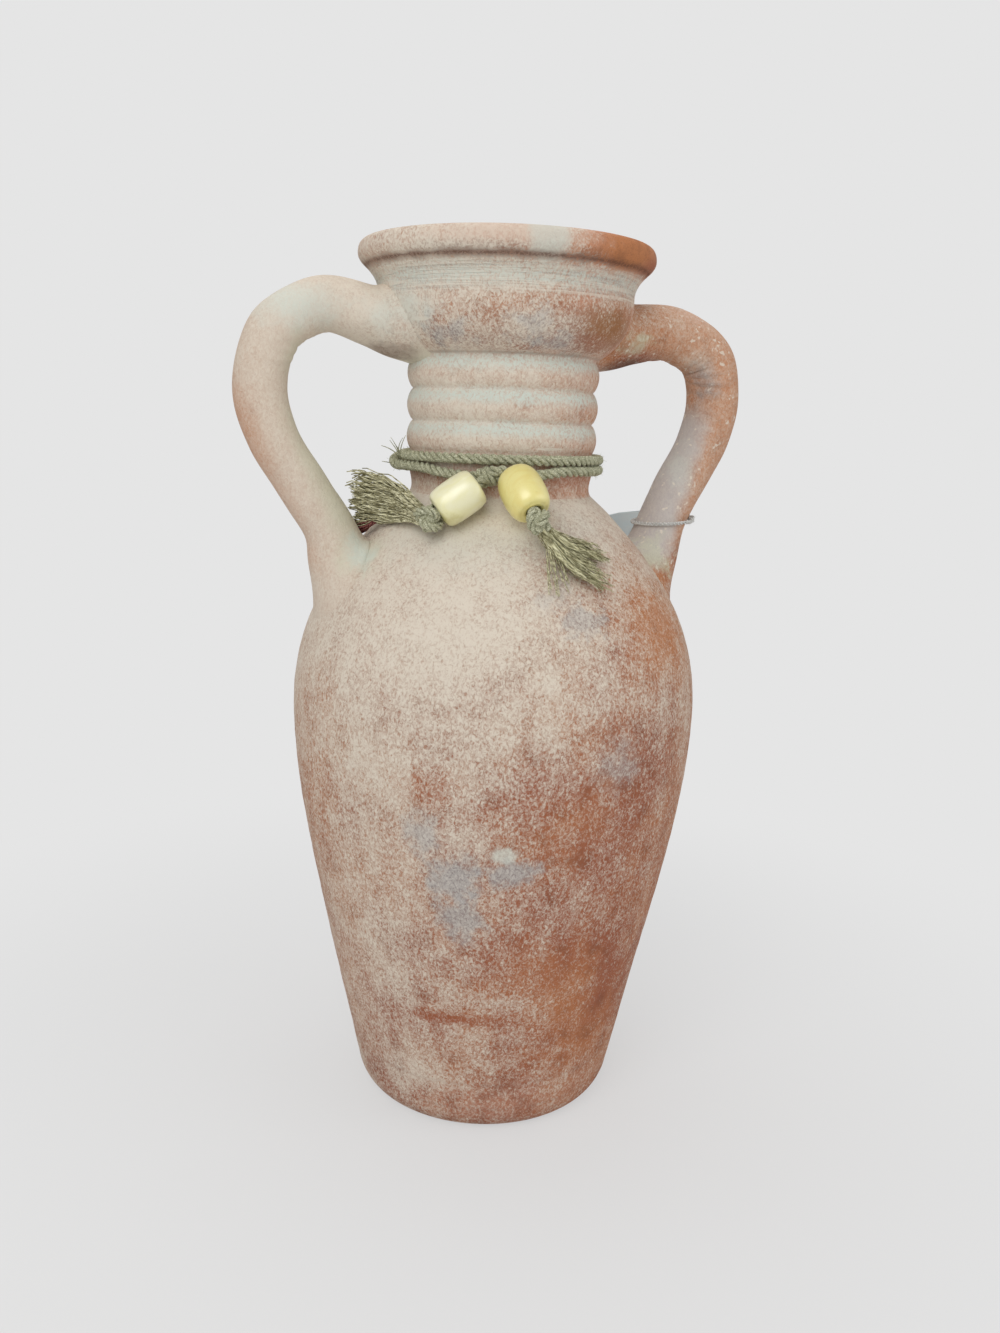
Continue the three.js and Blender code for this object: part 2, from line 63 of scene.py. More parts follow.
def smoothLine(points, perSpan=16):  # a curve through all the points
    points = [np.array(p, float) for p in points]
    padded = [2 * points[0] - points[1], *points, 2 * points[-1] - points[-2]]
    line = [points[0]]
    for p0, p1, p2, p3 in zip(padded, padded[1:], padded[2:], padded[3:]):
        d0, d1, d2 = (max(np.linalg.norm(b - a), 1e-6) ** 0.5 for a, b in ((p0, p1), (p1, p2), (p2, p3)))
        m1 = ((p1 - p0) / d0 - (p2 - p0) / (d0 + d1) + (p2 - p1) / d1) * d1
        m2 = ((p2 - p1) / d1 - (p3 - p1) / (d1 + d2) + (p3 - p2) / d2) * d1
        for t in np.linspace(0, 1, perSpan + 1)[1:]:
            line.append((2 * t ** 3 - 3 * t * t + 1) * p1 + (t ** 3 - 2 * t * t + t) * m1
                        + (3 * t * t - 2 * t ** 3) * p2 + (t ** 3 - t * t) * m2)
    return np.array(line)


def spaced(line, count):  # the same line with evenly spaced points
    line = np.array(line)
    run = np.concatenate([[0], np.cumsum(np.linalg.norm(np.diff(line, axis=0), axis=1))])
    marks = np.linspace(0, run[-1], count)
    return np.stack([np.interp(marks, run, line[:, k]) for k in range(3)], axis=1)


def lineLength(line):
    return float(np.linalg.norm(np.diff(np.array(line), axis=0), axis=1).sum())


def ease(value, start, end):
    t = np.clip((np.asarray(value, float) - start) / (end - start), 0, 1)
    return t * t * (3 - 2 * t)


def around(sides):  # the angles of a ring's points
    return np.arange(sides) * 2 * math.pi / sides


def headings(line):
    tangents = np.gradient(line, axis=0)
    return tangents / np.linalg.norm(tangents, axis=1)[:, None]


def frames(line, first):  # headings and two normals that turn as little as they can
    tangents = headings(line)
    normal = unit(first - np.dot(first, tangents[0]) * tangents[0])
    normals = []
    for tangent in tangents:
        normal = unit(normal - np.dot(normal, tangent) * tangent)
        normals.append(normal)
    normals = np.array(normals)
    return tangents, normals, np.cross(tangents, normals)


def grain(points, size, seed=0.0):  # soft noise from -1 to 1 at each point
    shift = Vector((seed * 7.3, seed * 3.1, seed * 5.7))
    return np.array([noise.noise(Vector(p) / size + shift) for p in points])


# meshes

class Shape:
    def __init__(self):
        self.points = []
        self.faces = []

    def rings(self, rings, capped=True):  # skin over rings of equal count
        base = len(self.points)
        sides = len(rings[0])
        end = base + (len(rings) - 1) * sides
        for ring in rings:
            self.points.extend(map(tuple, ring))
        for i in range(len(rings) - 1):
            for j in range(sides):
                a = base + i * sides + j
                b = base + i * sides + (j + 1) % sides
                self.faces.append((a, b, b + sides, a + sides))
        if capped:
            self.faces.append(tuple(base + j for j in reversed(range(sides))))
            self.faces.append(tuple(end + j for j in range(sides)))

    def tube(self, line, radius, sides):
        line = np.array(line)
        upright = abs(np.dot(up, unit(line[1] - line[0]))) >= 0.95
        tangents, normals, across = frames(line, vec(1, 0.2, 0) if upright else up)
        radius = np.broadcast_to(np.asarray(radius, float), (len(line),))
        angles = around(sides)[None, :, None]
        ring = np.cos(angles) * normals[:, None, :] + np.sin(angles) * across[:, None, :]
        self.rings(line[:, None, :] + radius[:, None, None] * ring)

    def weld(self, sides):  # join the last ring, a repeat of the first, to it
        count = len(self.points) - sides
        self.points = self.points[:count]
        self.faces = [tuple(i % count for i in face) for face in self.faces]
        return self

    def piece(self, name, material, slot, body="vase", smooth=True):
        mesh = bpy.data.meshes.new(name)
        mesh.from_pydata([tuple(c * toMetres for c in p) for p in self.points], [], self.faces)
        mesh.update()
        if smooth:
            mesh.polygons.foreach_set("use_smooth", [True] * len(mesh.polygons))
        mesh.materials.append(material)
        thing = bpy.data.objects.new(name, mesh)
        bpy.context.scene.collection.objects.link(thing)
        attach(thing, body)
        return thing


def turnedShape(outline, segments, relief):  # outline runs from axis to axis, or closes on itself
    outline = np.array(outline, float)
    shape = Shape()
    onAxis = outline[:, 0] < 1e-6
    r = np.repeat(outline[:, 0][:, None], segments, 1)
    z = np.repeat(outline[:, 1][:, None], segments, 1)
    a = np.repeat(around(segments)[None, :], len(outline), 0)
    r = np.where(onAxis[:, None], r, r + relief(a, r, z))
    grid = np.stack([r * np.cos(a), r * np.sin(a), z], axis=2)
    body = grid[~onAxis]
    if not onAxis.any():
        shape.rings([*body, body[0]], capped=False)
        return shape.weld(segments)
    shape.rings(body, capped=False)
    for at, ring in ((0, 0), (-1, len(body) - 1)):
        tip = len(shape.points)
        shape.points.append((0.0, 0.0, float(outline[at, 1])))
        for j in range(segments):
            edge = (ring * segments + j, ring * segments + (j + 1) % segments)
            shape.faces.append((tip, *reversed(edge)) if at == 0 else (tip, *edge))
    return shape


def placed(shape, start, direction):  # turn a shape made about Z so that its axis points along a direction
    turn = Vector((0, 0, 1)).rotation_difference(Vector(direction)).to_matrix()
    shape.points = [tuple(turn @ Vector(p) + Vector(start)) for p in shape.points]
    return shape


# shader helpers

def srgb(r, g, b):
    def linear(c):
        c = c / 255
        return c / 12.92 if c <= 0.04045 else ((c + 0.055) / 1.055) ** 2.4
    return (linear(r), linear(g), linear(b), 1.0)


nodeLayout = {"perRow": 12, "across": 220, "down": 260}


class Nodes:
    def __init__(self, tree):
        self.tree = tree
        self.count = 0

    def add(self, kind, values=None, **sockets):
        node = self.tree.nodes.new(kind)
        row, column = divmod(self.count, nodeLayout["perRow"])
        node.location = (nodeLayout["across"] * column, -nodeLayout["down"] * row)
        self.count += 1
        for key, value in (values or {}).items():
            setattr(node, key, value)
        for key, value in sockets.items():
            self.set(node.inputs[key.replace("_", " ")], value)
        return node

    def set(self, socket, value):
        if isinstance(value, bpy.types.NodeSocket):
            self.tree.links.new(value, socket)
        else:
            socket.default_value = value

    def math(self, operation, *values):
        node = self.add("ShaderNodeMath", {"operation": operation})
        for socket, value in zip(node.inputs, values):
            self.set(socket, value)
        return node.outputs[0]

    def times(self, first, second):
        return self.math("MULTIPLY", first, second)

    def plus(self, first, second):
        return self.math("ADD", first, second)

    def minus(self, first, second):
        return self.math("SUBTRACT", first, second)

    def vectorMath(self, operation, *values, scale=None):
        node = self.add("ShaderNodeVectorMath", {"operation": operation})
        for socket, value in zip(node.inputs, values):
            self.set(socket, value)
        if scale is not None:
            self.set(node.inputs["Scale"], scale)
        return node.outputs["Value"] if operation in ("LENGTH", "DOT_PRODUCT") else node.outputs[0]

    def span(self, value, low, high, start=0.0, end=1.0):  # a soft step between two values
        return self.add("ShaderNodeMapRange", {"interpolation_type": "SMOOTHSTEP"}, Value=value, From_Min=low,
                        From_Max=high, To_Min=start, To_Max=end).outputs[0]

    def mix(self, factor, first, second):
        node = self.add("ShaderNodeMix", {"data_type": "RGBA"})
        for place, value in ((0, factor), (6, first), (7, second)):  # the sockets that hold colours
            self.set(node.inputs[place], value)
        return node.outputs[2]

    def noise(self, vector, size, detail=2.0, roughness=0.5, distortion=0.0):
        scale = self.math("DIVIDE", 1.0, size) if isinstance(size, bpy.types.NodeSocket) else 1.0 / size
        return self.add("ShaderNodeTexNoise", Vector=vector, Scale=scale, Detail=detail, Roughness=roughness,
                        Distortion=distortion).outputs["Fac"]

    def bump(self, height, strength, distance):
        return self.add("ShaderNodeBump", Strength=strength, Distance=distance, Height=height).outputs[0]

    def use(self, group, **sockets):
        node = self.add("ShaderNodeGroup", {"node_tree": group})
        for key, value in sockets.items():
            self.set(node.inputs[key.replace("_", " ")], value)
        return node.outputs

    def millimetres(self):
        where = self.add("ShaderNodeTexCoord").outputs["Object"]
        return self.vectorMath("SCALE", where, scale=1000.0)


def newMaterial(name):
    material = bpy.data.materials.new(name)
    material.use_nodes = True
    return material, Nodes(material.node_tree), material.node_tree.nodes["Principled BSDF"]


def newGroup(name, vectors, values, outputs):
    group = bpy.data.node_groups.new(name, "ShaderNodeTree")
    for label in vectors:
        group.interface.new_socket(name=label, in_out="INPUT", socket_type="NodeSocketVector")
    for label, value in values.items():
        socket = group.interface.new_socket(name=label, in_out="INPUT", socket_type="NodeSocketFloat")
        socket.default_value = value
    for label in outputs:
        group.interface.new_socket(name=label, in_out="OUTPUT", socket_type="NodeSocketFloat")
    nodes = Nodes(group)
    return group, nodes, nodes.add("NodeGroupInput").outputs, nodes.add("NodeGroupOutput")


def blotGroup():  # a ragged-edged patch round a place on the surface
    group, n, inside, out = newGroup("raggedPatch", ["Place", "Centre", "Size"], {
        "Edge": 0.5, "Ragged": 0.3, "Raggedness Size": 12.0}, ["Mask"])
    offset = n.vectorMath("SUBTRACT", inside["Place"], inside["Centre"])
    offset = n.vectorMath("DIVIDE", offset, inside["Size"])
    wander = n.noise(inside["Place"], inside["Raggedness Size"], detail=4.0, roughness=0.65)
    push = n.times(n.minus(wander, 0.5), n.times(inside["Ragged"], 4.0))
    reach = n.plus(n.vectorMath("LENGTH", offset), push)
    n.set(out.inputs["Mask"], n.span(reach, 1.0, n.minus(1.0, inside["Edge"])))
    return group


def speckleGroup():  # worm-like flecks of wash that stay in the pores, by how much is covered
    group, n, inside, out = newGroup("limeSpeckle", ["Place"], {
        "Cover": 0.5, "Fleck Size": 2.4, "Softness": 0.1}, ["Mask", "Height"])
    squeezed = n.vectorMath("MULTIPLY", inside["Place"], (1.0, 1.0, 0.72))
    fine = n.noise(squeezed, inside["Fleck Size"], detail=3.0, roughness=0.62, distortion=0.9)
    fine = n.plus(n.times(n.minus(fine, 0.5), 2.6), 0.5)
    threshold = n.minus(1.0, inside["Cover"])
    low = n.minus(threshold, inside["Softness"])
    high = n.plus(threshold, inside["Softness"])
    n.set(out.inputs["Mask"], n.span(fine, low, high))
    n.set(out.inputs["Height"], fine)
    return group


def unevenGroup():  # the clay's own unevenness, from broad clouds to grit, and runs down the wall
    group, n, inside, out = newGroup("clayUnevenness", ["Place"], {
        "Broad Size": 46.0, "Medium Size": 11.0, "Grit Size": 0.55}, ["Broad", "Medium", "Grit", "Runs"])
    place = inside["Place"]
    runs = n.vectorMath("MULTIPLY", place, (1.0, 1.0, 0.16))
    n.set(out.inputs["Broad"], n.noise(place, inside["Broad Size"], detail=4.0, roughness=0.6))
    n.set(out.inputs["Medium"], n.noise(place, inside["Medium Size"], detail=5.0, roughness=0.62))
    n.set(out.inputs["Grit"], n.noise(place, inside["Grit Size"], detail=2.0, roughness=0.6))
    n.set(out.inputs["Runs"], n.noise(runs, 6.0, detail=3.0, roughness=0.6))
    return group


def fibreGroup():  # fibres that run where their place is squeezed, and darker stretches
    group, n, inside, out = newGroup("spunFibre", ["Place", "Squeezed Place"], {
        "Fibre Size": 0.55, "Detail": 3.0}, ["Middle", "Light", "Dark", "Height"])
    fibre = n.noise(inside["Squeezed Place"], inside["Fibre Size"], detail=inside["Detail"], roughness=0.7)
    blotch = n.noise(inside["Place"], 3.5, detail=2.0)
    n.set(out.inputs["Middle"], n.span(fibre, 0.35, 0.62))
    n.set(out.inputs["Light"], n.span(fibre, 0.55, 0.78, 0.0, 0.8))
    n.set(out.inputs["Dark"], n.span(blotch, 0.6, 0.3, 0.0, 0.35))
    n.set(out.inputs["Height"], fibre)
    return group


def grainGroup():  # year rings and pores of turned wood
    group, n, inside, out = newGroup("woodGrain", ["Place"], {"Ring Size": 2.6}, [
        "Rings", "Streak", "Pore", "Height"])
    squeezed = n.vectorMath("MULTIPLY", inside["Place"], (0.35, 1.0, 0.45))
    rings = n.noise(squeezed, inside["Ring Size"], detail=3.0, distortion=0.6)
    pores = n.noise(inside["Place"], 0.45, detail=2.0, roughness=0.7)
    n.set(out.inputs["Rings"], rings)
    n.set(out.inputs["Streak"], n.span(rings, 0.35, 0.75, 0.0, 0.4))
    n.set(out.inputs["Pore"], n.span(pores, 0.36, 0.26, 0.0, 0.35))
    n.set(out.inputs["Height"], pores)
    return group


patchGroup = blotGroup()
fleckGroup = speckleGroup()
clayUnevenness = unevenGroup()
spunFibre = fibreGroup()
woodGrain = grainGroup()


def patch(n, place, centre, size, edge, ragged, raggedSize):
    return n.use(patchGroup, Place=place, Centre=centre, Size=size, Edge=edge, Ragged=ragged,
                 Raggedness_Size=raggedSize)["Mask"]


# pot profile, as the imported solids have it

pot = {
    "wall": 8.0,
    "floor": 10.0,
    "footRadius": 50.0,
    "footTurn": 57.3,
    "footEdge": (60.3, 10.0),
    "lowerFlare": 0.21,
    "lowerSwell": 70.0,
    "belly": (91.0, 185.0),
    "bellyRound": (45.0, 48.0),
    "shoulderSlope": 0.93,
    "shoulderRun": 25.0,
    "bodyHeight": 281.0,
    "neckRadius": 40.3,
    "collarHeight": 16.0,
    "skirtOut": 1.9,  # the collar runs out over the seam with the body
    "skirtDrop": 2.6,
    "skirtRise": 5,
    "ribCount": 3,
    "ribSteps": 16,
    "ribPitch": 13.5,
    "ribDepth": 2.5,
    "ribCrest": 1.5,
    "ribFlatness": 0.7,
    "bowlRadius": 55.1,
    "bowlTurn": (53.5, 6.5),
    "bowlTop": 360.0,
    "throatBase": 364.5,
    "lipUnder": 374.5,
    "lipEdge": 378.5,
    "rim": 384.0,
    "rimRound": 4.8,
    "lipRadius": 63.6,
    "lipWidth": 11,
    "segments": 240,
}
neckTop = pot["bodyHeight"] + pot["collarHeight"] + pot["ribCount"] * pot["ribPitch"]
bowlTurn = (pot["bowlTurn"][0], neckTop + pot["bowlTurn"][1])
rimTop = (pot["lipRadius"] - pot["rimRound"], pot["rim"])


def bodyOutline(steps):
    edge, belly, seam = pot["footEdge"], pot["belly"], (pot["neckRadius"], pot["bodyHeight"])
    line = [(pot["footRadius"], 0.0)]
    line += bezier(line[0], (pot["footTurn"], 0), edge, steps=steps // 4)
    line += bezier(edge, (edge[0] + pot["lowerFlare"] * pot["lowerSwell"], edge[1] + pot["lowerSwell"]),
                   (belly[0], belly[1] - pot["bellyRound"][0]), belly, steps=steps)
    shoulder = (seam[0] + pot["shoulderSlope"] * pot["shoulderRun"], seam[1] - pot["shoulderRun"])
    line += bezier(belly, (belly[0], belly[1] + pot["bellyRound"][1]), shoulder, seam, steps=steps)
    return [tuple(map(float, p)) for p in line]


def neckOutline():
    neck, base, collarTop = pot["neckRadius"], pot["bodyHeight"], pot["bodyHeight"] + pot["collarHeight"]
    line = [(neck + pot["skirtOut"], base - pot["skirtDrop"])]
    line += bezier(line[0], (neck + 0.2, base), (neck, base + pot["skirtRise"]), steps=6)
    line += bezier((neck, base + pot["skirtRise"]), (neck, collarTop), steps=8)
    for i in range(1, pot["ribCount"] * pot["ribSteps"]):
        swell = abs(math.sin(math.pi * i / pot["ribSteps"])) ** pot["ribFlatness"]
        radius = neck + pot["ribCrest"] - pot["ribDepth"] * (1 - swell)
        line.append((radius, collarTop + pot["ribPitch"] * i / pot["ribSteps"]))
    throat, under = (pot["bowlRadius"], pot["throatBase"]), (pot["lipRadius"] - 2, pot["lipUnder"])
    edge = (pot["lipRadius"], pot["lipEdge"])
    line.append((neck, neckTop))
    line += bezier(line[-1], bowlTurn, (pot["bowlRadius"], pot["bowlTop"]), steps=18)
    line += bezier((pot["bowlRadius"], pot["bowlTop"]), throat, steps=4)
    line += bezier(throat, (throat[0] + 0.5, throat[1] + 5), under, steps=12)
    line += bezier(under, (edge[0], under[1] + 2), edge, steps=6)
    line += bezier(edge, (edge[0], pot["rim"]), rimTop, steps=8)
    return [tuple(map(float, p)) for p in line]


def boreOutline():
    wall, bore = pot["wall"], pot["neckRadius"] - pot["wall"]
    mouth = (pot["lipRadius"] - pot["lipWidth"], pot["rim"] - 4)
    bowl = (pot["bowlRadius"] - wall, pot["bowlTop"])
    line = bezier(rimTop, (mouth[0], pot["rim"]), mouth, steps=8)
    line += bezier(mouth, (bowl[0], pot["lipUnder"]), bowl, steps=8)
    line += bezier(bowl, (bowlTurn[0] - wall, bowlTurn[1]), (bore, neckTop), steps=10)
    line += bezier((bore, neckTop), (bore, pot["bodyHeight"]), steps=8)
    return [tuple(map(float, p)) for p in line]


bodySide = bodyOutline(56)
neckSide = neckOutline()
outside = np.array(bodySide[:-2] + neckSide)


def potRadius(z):
    return np.interp(z, outside[:, 1], outside[:, 0])


def potSlope(z):  # outward direction of the surface as (radial, up)
    run = potRadius(z + 0.6) - potRadius(z - 0.6)
    size = np.hypot(1.2, run)
    return 1.2 / size, -run / size


def potDistance(points):  # about how far each point stands off the pot
    points = np.asarray(points)
    radial, _ = potSlope(points[:, 2])
    return (np.hypot(points[:, 0], points[:, 1]) - potRadius(points[:, 2])) * radial


def liftOff(points, least):  # move points that are too near the pot straight out of it
    points = np.array(points)
    short = np.clip(least - potDistance(points), 0, None)
    radial, rise = potSlope(points[:, 2])
    flat = points[:, :2] / np.maximum(np.hypot(points[:, 0], points[:, 1]), 1e-6)[:, None]
    points[:, :2] += (short * radial)[:, None] * flat
    points[:, 2] += short * rise
    return points


# clay

clay = {
    "red": (158, 94, 68),
    "orange": (190, 126, 84),
    "pink": (204, 150, 126),
    "dark": (108, 72, 56),
    "brown": (162, 114, 78),
    "haze": (188, 168, 148),  # thin wash that fills the pores where much of it lies
    "cream": (230, 220, 204),
    "chalk": (210, 218, 208),
    "slate": (182, 180, 182),
    "ash": (146, 136, 132),
    "moss": (204, 205, 178),
    "blush": (220, 190, 170),
    # colour of a wash between the flecks, where it differs, and its share on the flecks
    "under": {"slate": "ash"},
    "over": {"slate": 0.45, "chalk": 0.8, "moss": 0.8, "cream": 1.0, "dark": 0.9, "blush": 0.6},
    "fleckSize": 1.05,
    "roughness": 0.88,
}

# Each coat says how much lime wash lies on the clay and what colours show through it.
# base: colour of the clay. cover: wash everywhere. softness: how softly its flecks end.
# rise and side: from and to, along z and x, and the wash that this adds. crisp: from and to, softness there.
# covers: centre, size, wash added, softness. tints: centre, size, colour, strength, softness.
# washes and painted shade: centre, size, colour, strength, softness, raggedness; the dark patches at the
# handle roots are painted shade. bands: height, reach, colour, strength.
# streaks: from and to as x and z, side of that line, colour, strength under the flecks, wash added,
# strength over them. lines: where marks of the wheel show. dots: strength of stray specks.
jointWashes = [
    ((-54, -22, 353), (19, 24, 16), "chalk", 0.6, 0.95, 0.4),
    ((56, -20, 345), (11, 16, 7), "moss", 0.5, 0.95, 0.8),
    ((-66, -10, 253), (18, 24, 13), "moss", 0.6, 0.9, 0.3),
    ((-67, -14, 255), (8, 16, 11), "chalk", 0.9, 0.8, 0.3),
    ((70, -12, 252), (15, 22, 12), "moss", 0.6, 0.95, 0.8),
    ((0, 0, 278), (75, 75, 4.5), "cream", 0.6, 0.9, 0.2),
]
bodyCoat = {
    "base": "red", "cover": 0.2, "rise": (90, 250, 0.34), "side": (40, -60, 0.26), "softness": 0.6,
    "covers": [
        ((-40, -70, 232), (60, 56, 44), 0.16, 0.9),
        ((0, -20, 272), (90, 80, 17), 0.23, 0.8),
        ((48, -66, 226), (40, 46, 28), -0.36, 0.8),
        ((36, -84, 160), (50, 40, 46), -0.12, 0.8),
        ((-52, -74, 170), (22, 22, 13), -0.22, 0.8),
        ((12, -84, 190), (30, 26, 14), -0.08, 0.8),
        ((-88, -20, 165), (14, 60, 90), -0.16, 0.8),
        ((86, -34, 178), (20, 44, 60), -0.16, 0.8),
        ((-6, -86, 156), (44, 36, 36), -0.2, 0.8),
        ((6, -78, 86), (50, 40, 28), -0.2, 0.8),
        ((-34, -62, 61), (25, 30, 5.5), -0.55, 0.95),
        ((-6, -66, 71), (44, 30, 5), 0.10, 0.8),
        ((26, -66, 56), (46, 36, 34), -0.24, 0.8),
        ((-62, -46, 90), (26, 30, 40), 0.14, 0.9),
        ((-48, -40, 26), (24, 30, 18), 0.16, 0.9),
        ((-20, -56, 14), (60, 44, 12), -0.10, 0.7),
        ((-36, -74, 146), (30, 30, 10), 0.08, 0.8),
    ],
    "tints": [
        ((-55, -60, 240), (76, 70, 60), "pink", 0.7, 0.9),
        ((58, -58, 230), (44, 50, 36), "orange", 0.9, 0.7),
        ((74, -50, 160), (46, 50, 110), "orange", 0.5, 0.9),
        ((-88, -10, 190), (30, 60, 70), "orange", 0.45, 0.9),
        ((-10, -56, 16), (70, 50, 20), "pink", 0.35, 0.9),
        ((-34, -62, 61), (25, 30, 5.5), "red", 0.7, 0.9),
    ],
    "washesAndShade": [
        ((-42, -75, 131), (16, 16, 14), "slate", 0.95, 0.7, 0.45),
        ((-20, -84, 134), (19, 15, 8.5), "slate", 0.9, 0.7, 0.45),
        ((-54, -70, 149), (10, 11, 13), "slate", 0.8, 0.8, 0.45),
        ((-37, -73, 112), (13, 13, 14), "slate", 0.85, 0.7, 0.45),
        ((-24, -84, 142), (8, 8, 5), "chalk", 0.5, 0.6, 0.3),
        ((8, -78, 234), (18, 14, 8), "slate", 0.65, 0.9, 0.8),
        ((-2, -74, 244), (11, 10, 11), "slate", 0.55, 0.9, 0.8),
        ((22, -86, 178), (15, 15, 15), "slate", 0.5, 0.9, 0.4),
        ((-20, -44, 264), (80, 66, 19), "chalk", 0.3, 0.9, 0.3),
        *jointWashes,
    ],
    "bands": [(26.0, 1.6, "dark", 0.12), (12.5, 1.0, "dark", 0.2)], "streaks": [],
}
neckCoat = {
    "base": "pink", "cover": 0.26, "rise": (282, 300, 0.1), "side": (40, -44, 0.34), "softness": 0.75,
    "crisp": (335, 342, 0.5),
    "covers": [
        ((-8, -53, 348), (15, 14, 9), 0.2, 0.7),
        ((0, 0, 382), (80, 80, 9), 0.1, 0.6),
        ((40, -52, 379), (44, 38, 14), -0.8, 0.8),
        ((0, -40, 348), (80, 60, 13), -0.14, 0.6),
        ((34, -44, 349), (30, 34, 13), -0.2, 0.8),
        ((0, -20, 320), (70, 60, 24), 0.14, 0.5),
        ((36, -30, 318), (22, 24, 26), -0.12, 0.8),
        ((-4, -30, 303), (60, 60, 7), 0.12, 0.6),
        ((0, 0, 288), (70, 70, 6), -0.25, 0.6),
    ],
    "tints": [
        ((46, -30, 318), (34, 36, 34), "orange", 0.9, 0.8),
        ((36, -52, 379), (40, 36, 12), "orange", 1.0, 0.7),
        # painted shade: a darker red on the right side of the lip, which turns away from the light
        ((54, -38, 375), (20, 22, 7), "red", 0.9, 0.8),
        ((-4, -40, 346), (70, 50, 14), "ash", 0.5, 0.7),
        ((34, -46, 350), (32, 32, 14), "brown", 1.0, 0.8),
        ((-10, -52, 339.5), (22, 20, 3.4), "red", 0.9, 0.8),
        ((26, -50, 343), (20, 20, 6), "red", 0.6, 0.9),
        ((0, 0, 287), (70, 70, 7), "red", 0.5, 0.5),
        ((-24, -40, 350), (40, 36, 10), "orange", 0.35, 0.8),
        ((-34, -46, 375.5), (34, 30, 4), "ash", 0.7, 0.8),
    ],
    "washesAndShade": [
        ((-20, -56, 381), (46, 40, 7), "blush", 0.8, 0.8, 0.3),
        ((-6, -64, 383), (11, 12, 20), "chalk", 0.6, 0.55, 0.2),
        ((-6, -54, 348), (12, 14, 10), "slate", 0.8, 0.95, 0.8),
        ((-40, -34, 344), (15, 18, 10), "slate", 0.7, 0.95, 0.8),
        ((8, -52, 342), (15, 14, 7), "slate", 0.6, 0.95, 0.8),
        ((-45.6, -25.4, 350), (5.5, 7, 0.9), "cream", 0.9, 0.4, 0.05),
        ((6, -39.5, 300.3), (9, 4, 0.8), "cream", 0.8, 0.5, 0.1),
        *jointWashes,
    ],
    "bands": [
        (334.6, 5.4, "chalk", 0.95), (321.0, 5.2, "chalk", 0.95), (307.6, 5.2, "chalk", 0.9),
        (366.5, 7.5, "chalk", 0.78), (373.2, 2.4, "dark", 0.75), (373.4, 1.0, "dark", 0.6),
        (338.0, 0.8, "dark", 0.35),
    ],
    "lines": (359.5, 372.0), "streaks": [],
}
leftHandleCoat = {
    "base": "pink", "cover": 0.6, "rise": (300, 352, 0.2), "side": (-116, -98, 0.3), "softness": 1.4,
    "covers": [((-50, -16, 350), (18, 30, 22), -0.45, 0.9)],
    "tints": [
        ((-118, -6, 330), (10, 40, 40), "orange", 0.45, 0.8),
        ((-57, -6, 338), (20, 28, 9), "red", 1.0, 0.7),
        ((-88, -8, 252), (12, 30, 24), "orange", 0.8, 0.9),
    ],
    "washesAndShade": [
        ((-92, -8, 354), (24, 22, 13), "chalk", 0.7, 0.9, 0.3),
        ((-90, -12, 332), (10, 20, 15), "moss", 0.6, 0.9, 0.3),
        *jointWashes,
        # painted shade: the underside of the left handle's root, darkened where it meets the bowl
        ((-56, -8, 336), (18, 28, 7), "dark", 0.85, 0.9, 0.3),
    ],
    "bands": [],
    "streaks": [
        ((-116, 322), (-83, 250), 1, "orange", 0.7, -0.3, 0.2),
        ((-97, 312), (-76, 262), -1, "moss", 0.6, 0.0, 0.7),
    ],
}
rightHandleCoat = {
    "base": "orange", "cover": 0.0, "rise": (340, 364, 0.25), "side": (112, 96, 0.1), "softness": 1.4,
    "dots": 0.7, "crisp": (264, 246, 0.6),
    "covers": [((90, -12, 340), (13, 16, 8), 0.4, 0.8), ((82, 6, 234), (28, 34, 16), 0.45, 0.9)],
    "tints": [
        ((60, -2, 338), (24, 30, 10), "red", 1.0, 0.6),
        ((94, 0, 362), (24, 30, 9), "pink", 0.6, 0.8),
        ((86, -8, 252), (9, 20, 14), "red", 0.7, 0.8),
        ((82, 6, 236), (28, 34, 16), "red", 0.8, 0.8),
    ],
    "washesAndShade": [
        ((84, -10, 296), (9, 18, 18), "chalk", 0.35, 0.9, 0.4),
        ((92, -14, 330), (11, 16, 15), "slate", 0.8, 0.9, 0.4),
        *jointWashes,
        # painted shade: the underside of the right handle's root, darkened where it meets the bowl
        ((60, -4, 336), (22, 28, 6), "dark", 0.9, 0.8, 0.2),
    ],
    "bands": [],
    "streaks": [((97, 315), (78, 250), 1, "slate", 0.75, 0.5, 0.6)],
}


def clayColour(tone):
    return srgb(*clay[tone])


def streakMask(n, place, wander, start, end, side):  # what lies on one side of a line down the handle
    length = math.hypot(end[0] - start[0], end[1] - start[1])
    along = ((end[0] - start[0]) / length, 0.0, (end[1] - start[1]) / length)
    offset = n.vectorMath("SUBTRACT", place, (start[0], 0.0, start[1]))
    aside = n.vectorMath("DOT_PRODUCT", offset, (side * along[2], 0.0, -side * along[0]))
    aside = n.plus(aside, n.times(n.minus(wander, 0.5), 10.0))
    run = n.vectorMath("DOT_PRODUCT", offset, along)
    ends = n.times(n.span(run, -8.0, 6.0), n.span(run, length + 8.0, length - 6.0))
    return n.times(n.span(aside, -5.5, 5.5), ends)


